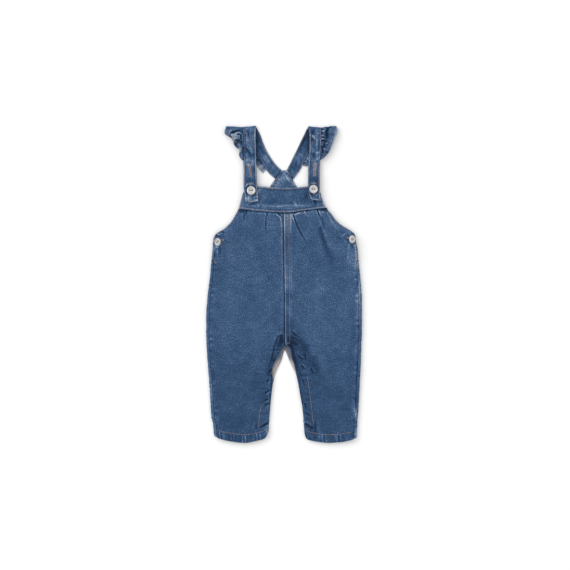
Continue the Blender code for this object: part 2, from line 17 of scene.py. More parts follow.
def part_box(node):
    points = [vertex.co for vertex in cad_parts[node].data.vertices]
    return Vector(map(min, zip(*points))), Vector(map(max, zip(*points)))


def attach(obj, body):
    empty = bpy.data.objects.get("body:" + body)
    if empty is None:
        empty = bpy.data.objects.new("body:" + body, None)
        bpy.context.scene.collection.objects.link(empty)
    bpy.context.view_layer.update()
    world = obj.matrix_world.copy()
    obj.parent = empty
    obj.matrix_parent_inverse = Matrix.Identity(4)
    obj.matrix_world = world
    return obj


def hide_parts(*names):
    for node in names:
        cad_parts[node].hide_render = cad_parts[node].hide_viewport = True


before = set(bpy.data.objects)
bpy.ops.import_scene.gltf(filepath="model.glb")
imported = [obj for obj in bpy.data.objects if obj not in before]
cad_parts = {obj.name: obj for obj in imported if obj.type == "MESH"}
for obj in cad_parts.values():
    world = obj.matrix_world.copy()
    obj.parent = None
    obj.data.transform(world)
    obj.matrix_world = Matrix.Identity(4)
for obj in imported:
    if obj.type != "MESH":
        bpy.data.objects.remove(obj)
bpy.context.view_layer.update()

MM = 0.001
SIDES = ("left", "right")
TURN = {"left": -1, "right": 1}

# Walls, bands and heights, as in the solids
SEAM_GAP = 0.3  # as wide as the gap between two solids
SHELL = 1.1  # thickness of a fine shell of single cloth
HEM_BAND = 13.0
FELL_BAND = 10.5
SIDE_BAND = 3.5
BAND_STEP = 3.0
SEAM_RISE = 0.8
SIDE_TOP = 127.5
CENTRE_TOP = 118.0
SIDE_FOLD_TOP = 77.0
SIDE_FOLD_START = 7.0
OPENING_END = 33.0
CROTCH = -96.0
CROTCH_START = 14.0
FELL_END = -101.0
HEM_CORNER = -246.0
BODY_TOP = 6.3
BODY_FALL = 30.0
BIB_AT_SEAM = 6.9
BIB_AT_TOP = 5.8
INSEAM_TOP = 5.0
INSEAM_RISE = 26.0
SHOULDER_FOLD = 5.2
STRAP_WALL = 1.7
SIDE_SEAM_GAP = 0.6
BACK_SEAM_GAP = 0.1
BACK_TOP = 140.8
BACK_HEM_SHORT = 1.0
BACK_BAND = 0.3  # how far the hems and the fell stand out of the underside
LOOSE_EDGE = 3.0


def table(columns, *rows):
    """Rows of numbers under named columns, sorted by the first column."""
    return dict(zip(columns.split(), (np.array(values, float) for values in zip(*sorted(rows)))))


def tables(columns, **rows):
    """A table under the same columns for each named piece."""
    return {piece: table(columns, *given) for piece, given in rows.items()}


def read(rows, column, at):
    """The column on a smooth curve through its rows that never overshoots them."""
    key = rows[next(iter(rows))]
    value = rows[column]
    step = np.diff(key)
    rise = np.diff(value) / step
    before, after = rise[:-1], rise[1:]
    same = before * after > 0
    safe = np.where(same, before + after, 1.0)
    slope = np.concatenate([rise[:1], np.where(same, 2 * before * after / safe, 0.0), rise[-1:]])
    at = np.clip(np.asarray(at, float), key[0], key[-1])
    row = np.clip(np.searchsorted(key, at, side="right") - 1, 0, len(step) - 1)
    t = (at - key[row]) / step[row]
    return (
        value[row] * (1 + 2 * t) * (1 - t) ** 2
        + slope[row] * step[row] * t * (1 - t) ** 2
        + value[row + 1] * t * t * (3 - 2 * t)
        + slope[row + 1] * step[row] * t * t * (t - 1)
    )


def mix(a, b, t):
    """From a at 0 to b at 1."""
    return a + (b - a) * t


def ease(t):
    """0 up to 0, 1 from 1, and a smooth step between."""
    t = np.clip(t, 0.0, 1.0)
    return t * t * (3 - 2 * t)


def bell(distance, width):
    """1 where the distance is 0, fading over the width to both sides."""
    return np.exp(-((distance / width) ** 2))


def raised(distance, band, step=BAND_STEP):
    """1 over a band along an edge, 0 past the slope that ends it."""
    return 1 - ease((distance - band) / step + 0.5)


def rolled(distance, radius=1.5, drop=0.9):
    """How far a turned edge rounds down towards its rim."""
    inside = np.clip(1 - distance / radius, 0.0, 1.0)
    return -drop * (1 - np.sqrt(1 - inside**2))


def uneven(along, period, seed):
    """A wave whose spacing and depth wander, for puckers and gathers, within -1 to 1."""
    bent = along / period + 0.35 * np.sin(along / (2.3 * period) * 2 * np.pi + seed)
    swell = 0.65 + 0.35 * np.sin(2 * np.pi * along / (3.7 * period) + 2.1 * seed)
    return swell * np.sin(2 * np.pi * bent + 1.7 * seed)


# ---------------------------------------------------------------- outlines
# As traced from above: the places of edges and seams down or across each piece
OUTLINE = table(
    "y left right",
    (130, -73.8, 69.2), (123, -76.2, 72.2), (116.3, -79.6, 77.8), (109.7, -83.4, 82.6),
    (103.1, -87.6, 88.2), (96.5, -93.9, 97), (89.9, -101.6, 108), (86.6, -108, 112.8),
    (83.3, -112.5, 116.3), (79.2, -115.4, 117.8), (75, -116.8, 118), (57, -118.4, 121.5),
    (37, -120.4, 123.2), (11, -122.8, 125.8), (-9, -125.2, 127.6), (-26, -127, 128.3),
    (-55, -128.8, 128.6), (-82, -128.8, 128.4), (-101.5, -128, 127.4), (-134.5, -125.9, 126.6),
    (-161, -123.9, 125.1), (-207, -121, 122.6), (-221, -120, 121.5), (-229, -117.6, 120.9),
    (-262, -115.4, 120.3),
)
# The roll of a side: its height and reach, how far in the seam lies, the height of its
# outermost line, and how many degrees short of the seam the back ends
ROLL = table(
    "y height reach seam edge short",
    (130, 6.5, 8, 0, 4.6, 34), (100, 6.8, 9, 0, 4.4, 34), (87, 8.3, 12, 0, 4.6, 34),
    (78, 10, 14, 0, 5.1, 34), (70, 10.4, 14, 0, 5.2, 34), (57, 10.2, 13.5, 0, 5.1, 34),
    (44, 8.8, 10.5, 0, 4.4, 30), (35, 7.8, 8.5, 4.4, 3.9, 0), (10, 7, 6.8, 5.4, 3.5, 0),
    (-230, 6.8, 6.5, 5.4, 3.4, 0), (-262, 6.8, 6.5, 5.2, 3.4, 0),
)
FRONT_INNER = table(
    "y left right",
    (125, -0.9, -0.9), (40, 0.2, 0.2), (-26, 1, 1), (-97, 1.4, 1.4), (-101, -0.4, 3.6),
    (-103.5, -2.3, 8.8), (-108.6, -6.4, 11.2), (-116.5, -9.8, 12.2), (-124.4, -13.6, 13.8),
    (-131.5, -18, 16.1), (-140, -20, 18.1), (-155, -18.9, 21.3), (-187, -21.8, 27.1),
    (-227, -25.7, 33.3), (-262, -27.6, 34.4),
)
BACK_INNER = table(
    "y left right",
    (145, 1.2, 1.2), (-107.5, 1.2, 1.2), (-110, 0, 2.2), (-114.7, -1.6, 4.6), (-124.6, -4.2, 8),
    (-133, -7.8, 11.6), (-141, -12, 15.6), (-149.3, -15, 19.4), (-167.5, -19, 24.2),
    (-207, -23.2, 30.4), (-262, -27, 34.6),
)
BACK_ARMHOLE = table(
    "y left right",
    (141, -41, 41.6), (126, -56, 55), (113, -71, 69.5), (97, -86.5, 87), (85, -102, 104.5),
    (77, -113, 115.5), (70, -117, 119.6),
)
BIB_SEAM = table(
    "x y",
    (-74.5, 125), (-55.7, 122.4), (-36, 120.4), (2.1, 118.3), (35, 121.8), (53.2, 124.3), (70.5, 126.6),
)
BIB_TOP = table(
    "x y",
    (-66.8, 152.4), (-62, 156), (-55.7, 158.8), (-42.5, 161.8), (-19.4, 160), (3.7, 159), (23.5, 160.2),
    (41.7, 161.6), (52, 158.4), (57.5, 154.6), (61, 149.6),
)
BIB_SIDES = table(
    "down left right",
    (0, -67.6, 60.2), (0.5, -71.3, 64), (1, -74.8, 68.8),
)
HEMS = tables(
    "x y",
    left=[
        (-116.5, -242), (-113.5, -250), (-108.7, -254.2), (-87.7, -259.5), (-64.6, -261.8),
        (-47.8, -259.2), (-33, -255.2), (-28.5, -251), (-26.2, -245.8),
    ],
    right=[
        (33.6, -247.6), (35.2, -252.8), (39.2, -256.6), (51.6, -259.4), (72.7, -261.8), (94.8, -260.4),
        (110.6, -257.4), (118, -253), (121, -246),
    ],
)
PEAK = table(
    "y left right",
    (188.4, -3, 3.2), (182, -8.4, 7.9), (175.7, -13.4, 12.4), (162.5, -22.7, 20.6),
    (141.3, -37.5, 36.7),
)
# Along a strap, run is 0 at its end on the bib, 1 at the shoulder fold and 2 at the peak
STRAPS = tables(
    "run outer_x outer_y inner_x inner_y under",
    left=[
        (0, -63.2, 134.4, -42, 136.2, 7), (0.11, -65.8, 149.3, -43, 149.3, 6.55),
        (0.21, -66.8, 162.5, -44.2, 162.5, 6.1), (0.35, -66.9, 180, -45.2, 180, 5.4),
        (0.5, -67.1, 199, -45.8, 199, 4.6), (0.68, -66.4, 221.9, -46.2, 221.9, 4),
        (0.86, -67.4, 243, -46.8, 243, 3.6), (1, -69.3, 257.2, -46.2, 259.3, 3.5),
        (1.16, -60.5, 241.8, -39.3, 246.5, 0), (1.32, -52.6, 227.7, -34.6, 233.4, 0),
        (1.48, -43.8, 213.2, -28.8, 220.8, 0), (1.64, -35.2, 199.2, -21.6, 208.6, 0),
        (1.82, -26.2, 184.9, -13.5, 197.6, 0), (2, -14.6, 174.2, -4, 188.4, 0),
    ],
    right=[
        (0, 60.8, 137, 46.8, 138.8, 6.85), (0.05, 60.2, 143.4, 42, 144, 6.7),
        (0.11, 59.2, 151, 40, 153, 6.5), (0.21, 58.8, 163.5, 39.4, 163.5, 6.1),
        (0.35, 58.8, 181, 39.4, 181, 5.4), (0.5, 59.2, 200, 40.2, 200, 4.6),
        (0.68, 60.9, 221.9, 41.6, 221.9, 4), (0.86, 61.6, 243, 41.8, 243, 3.6),
        (1, 62.1, 256.4, 39.8, 258.4, 3.5), (1.06, 59.4, 251.2, 37, 255.4, 0),
        (1.16, 54.6, 243.2, 33.7, 248.3, 0), (1.32, 46.6, 229, 27.9, 236.4, 0),
        (1.48, 39.4, 215.2, 21.7, 223.1, 0), (1.64, 32.6, 202.2, 15.7, 211.3, 0),
        (1.82, 26.6, 189.6, 10.4, 200.2, 0), (2, 14.4, 173, 4.4, 188.6, 0),
    ],
)
FRILLS = tables(
    "run free_x free_y",
    left=[
        (0.545, -67.6, 203.6), (0.58, -70.9, 206.5), (0.62, -74.3, 213.3), (0.67, -73.2, 220.7),
        (0.72, -77.7, 224.3), (0.77, -82.3, 229.4), (0.82, -84.5, 236.5), (0.86, -87.7, 241.7),
        (0.91, -94.5, 244.9), (0.955, -98.5, 250.1), (1, -96.2, 257.4), (1.08, -91, 252),
        (1.16, -84.4, 242), (1.25, -76.6, 230), (1.34, -69, 220.6), (1.44, -59.5, 210.5),
        (1.54, -51, 203), (1.62, -44.6, 194.9), (1.7, -38.4, 186.9), (1.76, -35, 182.9),
    ],
    right=[
        (0.545, 61.7, 205.6), (0.58, 66, 209), (0.62, 70.3, 213), (0.67, 75.1, 218.9),
        (0.72, 78.3, 225.6), (0.77, 81, 231.6), (0.82, 83, 237.4), (0.86, 84.8, 242.8),
        (0.91, 87, 248.4), (0.96, 88.4, 253.2), (1, 86.7, 257.8), (1.08, 84.4, 251), (1.16, 79.4, 242),
        (1.25, 74.6, 230.5), (1.34, 68, 218.6), (1.44, 60, 206.6), (1.54, 50.8, 197.4),
        (1.6, 45.6, 195.4), (1.66, 37.4, 195), (1.7, 31.4, 195.8),
    ],
)

# ---------------------------------------------------------------- creases, places paled by wear, and painted shade
# Each crease is a soft trough from one point to another, bowed sideways in its middle; a negative
# depth makes it a ridge. "lip" is the height of the ridge beside it: on the left hand of its run
# where it is positive, on the right hand where it is negative.
CREASES = tables(
    "x y end_x end_y bow width depth lip",
    front_left=[
        (-60.4, 123.4, -65.8, 112.6, 0.6, 1.2, 1, 0), (-55, 121.4, -54.4, 117, 0, 1.1, 0.6, 0.2),
        (-45, 121, -43.6, 117, 0, 1.3, 0.3, 0), (-12.8, 119.4, -7.6, 115.6, -0.5, 1, 0.7, 0),
        (-31.6, 118, -31, 110, 0, 1, -0.25, 0), (-20.5, 118, -20, 112, 0, 1.2, 0.3, 0),
        (-28, 117.6, -28.4, 111, 0, 1.1, 0.8, 0), (-7.8, 116, -3.4, 107.6, 0.6, 1, 0.8, 0),
        (-67.8, 115.6, -63.6, 104.6, 0.8, 1, -0.5, 0), (-12.8, 115.6, -7.4, 110.6, -0.5, 1.1, -0.6, 0),
        (-65.8, 114.6, -65.4, 107, 0, 1.2, 0.9, 0), (-13.6, 113.4, -11.6, 110.6, 0, 1.1, 0.6, 0),
        (-76.5, 112, -77, 92, 0, 2.6, -0.3, 0), (-29.6, 112, -30.6, 84, 0, 1.2, 0.6, 0),
        (-6.8, 111.6, -4.4, 98, 0.4, 1.2, -0.5, 0), (-88, 104, -86, 84, 2, 3.6, 0.2, 0),
        (-102.6, 88, -98.6, 81, 0.6, 2, 0.7, 0), (-112.4, 84.6, -104.4, 80.2, 0.4, 1.2, -0.6, 0),
        (-99.5, 71, -84, 67, 0, 3, 0.25, 0), (-105.6, 62, -105.8, 48, 0.4, 1.8, 0.5, 0),
        (-109.8, 58, -110, 49, 0, 0.9, -0.3, 0), (-102, 56, -92, 42, 0, 4, 0.2, 0),
        (-113.8, 54, -114.8, 40, 0, 1.3, 0.7, 0), (-5, -85, -1.4, -99.5, 0, 3.2, 1.5, 0),
        (-10, -86, -17, -104, 0, 1.8, 0.8, 0), (-16.4, -102, -26.6, -140, 1.4, 1.7, 0.8, 0),
        (-15, -124, -19.2, -130.5, 0, 1.5, 0.9, 0.3), (-21.4, -141, -26.4, -149, 0, 1.8, 1.1, 0.4),
        (-20.5, -150, -24.8, -226, 0, 1.2, 0.5, 0), (-25, -158, -30, -163, 0, 1.9, 0.7, 0.3),
        (-25, -175, -33.2, -181.2, 0, 1.9, 1.2, 0.5), (-27.5, -189.6, -34, -193, 0, 1.6, 1, 0.4),
        (-25.6, -196.6, -34.5, -201.5, 0, 2.2, 0.7, 0.3), (-26, -228.6, -42, -238.2, 0, 1.9, 1.5, 0.45),
        (-47, -238, -44, -226, 0, 2.4, 0.5, 0.3),
    ],
    front_right=[
        (59.6, 125.2, 67, 121.2, 0, 1.2, 1, 0), (66, 124.6, 71.4, 120.6, 0, 1.1, 0.9, 0),
        (44.5, 123.5, 44.2, 118.5, 0, 1.1, 0.4, 0), (54.6, 123.5, 61.4, 108.6, -0.6, 1.2, 1.3, 0),
        (51.6, 122.8, 55.6, 116, 0, 0.9, -0.4, 0), (37, 121.6, 36.4, 117.6, 0, 1, 1, 0),
        (57, 121.6, 60.4, 116.6, 0, 0.9, -0.5, 0), (33.4, 120.6, 36.4, 114.6, 0, 0.8, -0.9, 0),
        (42.6, 120.6, 51.6, 122.6, 0.6, 1, -0.4, 0), (61.6, 119.8, 67, 118, 0, 1.2, -0.4, 0),
        (71, 117.6, 80, 104, 0, 1.6, -0.4, 0), (38.6, 117.4, 39.2, 114.6, 0, 0.8, 0.7, 0),
        (36.4, 115, 42.4, 110.6, 0, 0.9, -0.5, 0), (17, 114.4, 33.4, 120.4, 0.6, 1, -0.6, 0),
        (15.2, 114, 41, 63, -2.2, 1.2, 1.2, 0), (13.6, 113, 19.6, 99, -0.4, 1.1, -0.5, 0),
        (62, 110, 66.6, 88, -0.6, 2.2, 0.5, 0), (61.6, 105, 66.4, 84, -1, 2, -0.4, 0),
        (60, 92, 79, 40, -2, 4.4, 1, 0), (96, 80.4, 102.4, 84, 0, 1.1, -0.4, 0),
        (88, 77.4, 96, 75, 0, 2.8, 0.25, 0), (106.4, 66, 106.6, 57, 0, 1.3, -0.25, 0),
        (111.6, 66, 113, 58, 0, 1.6, 0.6, 0), (117.2, 66, 119.2, 44, 0, 1.2, -0.6, 0),
        (119.4, 61, 121.4, 53, 0, 1.1, 0.8, 0), (103, 60, 98, 36, 0, 4, 0.15, 0),
        (79, 44, 76, 16, 1.5, 4, 0.25, 0), (12.6, -78, 21, -85.4, 0, 1.5, 1, 0.2),
        (19, -86, 52, -128, 2, 9.5, 1.3, 0), (13.6, -88, 23, -92.4, 0, 1.7, 1.1, 0.2),
        (14.8, -94, 24, -103, 0, 2.4, 1.1, 0), (9.6, -99, 20, -134, -1, 2.8, 1.2, 0),
        (34, -116, 37, -126, 0, 1.6, 0.7, 0.3), (24.6, -119, 32.6, -125.4, 0, 1.6, 1.1, 0.4),
        (50, -122, 57, -158, 0, 7, 1.1, 0.3), (28.8, -134.6, 34, -141, 0, 1.8, 1.1, 0.4),
        (44.6, -140, 49.6, -151, 0, 2.2, 0.7, 0.3), (31, -158, 34.6, -172, 0, 1.5, 0.6, -0.3),
        (34.4, -197, 36.6, -208, 0, 1.4, 1, -0.5), (36, -212, 46, -219, 0, 1.9, 0.6, 0.3),
        (35.4, -230.4, 49.6, -239.6, 0, 2.1, 1.6, 0.6), (51.6, -243, 52.8, -222, 0, 2, 0.7, 0),
    ],
    back_left=[
        (-50, 126, -44, 96, 1, 3, 0.5, 0), (-82, 92, -66, 62, 2, 4, 0.5, 0),
        (-100, 68, -72, 18, 4, 7, 0.5, 0), (-12, 66, -20, 36, 1, 2.6, 0.4, 0),
        (-112, -14, -100, -76, 4, 5, 0.5, 0), (-58, -34, -54, -98, 3, 7, 0.4, 0),
        (-5, -94, -34, -58, 3, 6, 0.55, 0), (-9, -102, -48, -96, 2, 5, 0.5, 0),
        (-16, -126, -30, -134, 0.5, 2.4, 0.7, 0), (-20, -158, -36, -170, 1, 3, 0.6, 0),
        (-72, -168, -66, -226, 2, 6, 0.4, 0), (-110, -196, -98, -226, 1, 3, 0.5, 0),
        (-24, -196, -38, -204, 0.5, 2.6, 0.5, 0), (-27, -226, -46, -238, 0.5, 2.4, 0.8, 0),
    ],
    back_right=[
        (42, 130, 38, 104, 0, 3, 0.5, 0), (80, 96, 64, 70, -2, 4, 0.5, 0),
        (104, 64, 80, 12, -4, 7, 0.5, 0), (14, 20, 22, -12, 1, 2.6, 0.4, 0),
        (114, -30, 104, -92, -3, 5, 0.5, 0), (62, -60, 60, -120, -3, 7, 0.4, 0),
        (6, -92, 30, -50, -3, 6, 0.55, 0), (12, -104, 46, -108, -2, 5, 0.55, 0),
        (20, -132, 38, -144, 0.5, 2.6, 0.7, 0), (80, -160, 86, -222, 2, 6, 0.4, 0),
        (28, -176, 42, -184, 0.5, 3, 0.5, 0), (34, -228, 52, -240, 0.5, 2.4, 0.8, 0),
    ],
    bib=[
        (28, 152, 33, 140, 0, 2.2, -0.3, 0), (-20, 150, -16, 141, 0, 2.6, -0.3, 0),
        (10, 150, 13, 144, 0, 1.6, -0.3, 0), (50, 140, 53.8, 130, 0, 2, 1, -0.4),
        (15, 137, 22, 129, 0, 1.6, -0.35, 0), (-58, 131, -46, 134, 0, 1.4, 0.6, 0.3),
        (-43, 131, -36, 133.4, 0, 1.8, -0.35, 0), (-14, 131, -14.5, 122, 0, 1.1, 0.4, 0),
        (-36, 129, -8, 129.4, 0.6, 2.2, -0.25, 0), (-6, 129, 30, 130.2, 0.6, 2.2, -0.2, 0),
        (-40, 128, -10, 126.6, 0, 1.6, 0.35, 0), (-6, 126.4, 40, 128, 0, 1.6, 0.35, 0),
    ],
    back_peak=[
        (4, 178, 11, 164, 0, 1.8, -0.5, 0), (-8, 172, 0, 160, 0, 3, 0.4, 0),
        (-24, 163, -13, 170, 0, 2.4, -0.4, 0),
    ],
    strap_left=[
        (-59.6, 254, -58.8, 239, 0, 1.9, 0.5, 0), (-61, 249, -60.4, 233, 0, 1.4, -0.3, 0),
        (-52.6, 244, -52, 228, 0, 1.5, 0.4, 0), (-63.4, 243, -58, 235, 0, 2, -0.4, 0),
        (-40, 228, -32, 212, 0, 1.8, 0.4, 0.2), (-63.6, 225.6, -52.4, 210.6, 0, 1.6, 0.6, 0.5),
        (-32, 224, -26, 214, 0, 2.2, -0.4, 0), (-64.2, 216, -57, 206, 0, 1.9, -0.5, 0),
        (-52.4, 209, -50.6, 201, 0, 1.2, -0.4, 0), (-57.6, 206, -55, 201, 0, 2.2, -0.5, 0),
        (-26, 204, -20, 194, 0, 2, -0.4, 0), (-63, 200, -61, 186, 0, 1.6, 0.3, 0),
        (-49.6, 196, -48.4, 180, 0, 1.2, 0.35, 0.3), (-60.6, 146, -52, 141, 0, 1.8, 0.4, 0.4),
        (-62.2, 143.4, -57.6, 137, 0, 1.5, -0.4, 0),
    ],
    strap_right=[
        (48.4, 254, 48, 243, 0, 2.2, 0.5, 0), (46, 247, 54.8, 236, 0, 1.5, -0.4, 0),
        (54.4, 241, 54, 213, 0, 1.6, -0.4, 0), (48.6, 238, 48.4, 222, 0, 2.4, 0.45, 0),
        (58, 236, 57.4, 220, 0, 1.5, 0.4, 0), (44.6, 222, 51, 216.4, 0, 1.5, -0.4, 0),
        (53.6, 216.4, 60, 217.6, 0, 1.3, -0.4, 0), (29, 214, 36, 226, 0, 2.4, -0.45, 0),
        (49, 214, 49, 204, 0, 2.6, 0.5, 0), (54.6, 206, 58.4, 210, 0, 1.4, -0.4, 0),
        (19, 196, 22, 212, 0, 1.8, 0.4, -0.4), (10, 193, 17, 183, 0, 1.4, -0.6, 0),
        (7.6, 189.4, 13.6, 179.8, 0, 1.2, 0.6, 0), (46, 185, 45.2, 166, 0, 1.3, 0.3, 0),
    ],
    frill_left=[
        (-81.6, 251.2, -69.5, 253.8, 0.6, 1.3, 1.3, -0.9), (-88, 248.8, -79.6, 251.6, 0.4, 1.9, 1.8, 0),
        (-86.5, 248, -81, 238, 0, 2.6, -1.3, 0), (-76.8, 247.6, -71.8, 246.4, 0.6, 1.3, 1.3, 0.4),
        (-71.8, 246.6, -69.4, 236, -0.6, 1.3, 1.5, 0), (-90, 246.4, -86, 240.6, 0, 1.2, 1.1, 0),
        (-79.6, 238.2, -70.4, 238.6, -0.8, 1.2, 1.6, 0), (-79, 238, -77.6, 229.6, 0.4, 1.7, 1.9, 0.7),
        (-82.6, 236.6, -80.4, 228, 0, 1, 0.6, 0), (-71.2, 235.6, -68.6, 229, 0, 1.2, 1.4, 0),
        (-74.6, 231.4, -71.2, 225, 0, 1.4, -0.6, 0), (-67.8, 226.4, -69, 213, 0.3, 1.3, 1.6, 0),
        (-76.4, 223.8, -70.6, 221.6, 0, 1.5, -1, 0), (-72.6, 221, -71.4, 215.6, 0, 1.3, -0.6, 0),
        (-74.4, 217.4, -73.6, 213, 0, 1, 0.9, -0.5), (-71, 214, -69.8, 208.6, 0, 1.2, -0.5, 0),
    ],
    frill_right=[
        (73.6, 260, 68.6, 249.6, 0.6, 2.2, 1.8, 0), (63, 258, 66.2, 258.4, 0, 0.8, 0.8, 0),
        (62.4, 255.2, 66.8, 255.2, 0, 0.9, 0.9, 0), (62.4, 252.8, 68.6, 252.2, 0, 0.9, -0.9, 0),
        (69.6, 252, 71, 240, 0.4, 2.4, 1.7, 0), (62.4, 249.2, 66.6, 250.2, 0, 0.9, 1, 0),
        (61.6, 245.8, 68.4, 245.4, 0, 1, -0.8, 0), (62.6, 242.6, 67.4, 242.6, 0, 1, 1.1, 0),
        (61.6, 240.4, 68.2, 240, 0, 0.9, -0.8, 0), (62.2, 237.8, 66.4, 237.4, 0, 1, 1, 0),
        (62.4, 236.6, 71.6, 235.2, 0.4, 1.4, 1.8, 0), (66.4, 232.6, 66.8, 223.8, 0, 1.3, 1.7, 0),
        (66, 232.4, 74, 233.4, 0, 1.1, -1.1, 0), (61, 230.6, 64.4, 230.4, 0, 0.9, -0.7, 0),
        (61.8, 227.8, 65, 227.8, 0, 0.9, 0.9, 0), (63.2, 225.6, 63.6, 215, 0.5, 1.6, 1.8, 0),
        (63.6, 225.6, 69.4, 221.6, -0.6, 1, -1.1, 0), (61.4, 220.6, 63, 219.8, 0, 0.8, -0.6, 0),
        (66.8, 220.4, 64.4, 213.6, 0, 1, -0.7, 0), (69.8, 219.4, 72, 215.4, 0, 1.5, 1, 0),
        (62.4, 213.6, 66, 212.4, 0, 0.9, 0.6, 0),
    ],
)
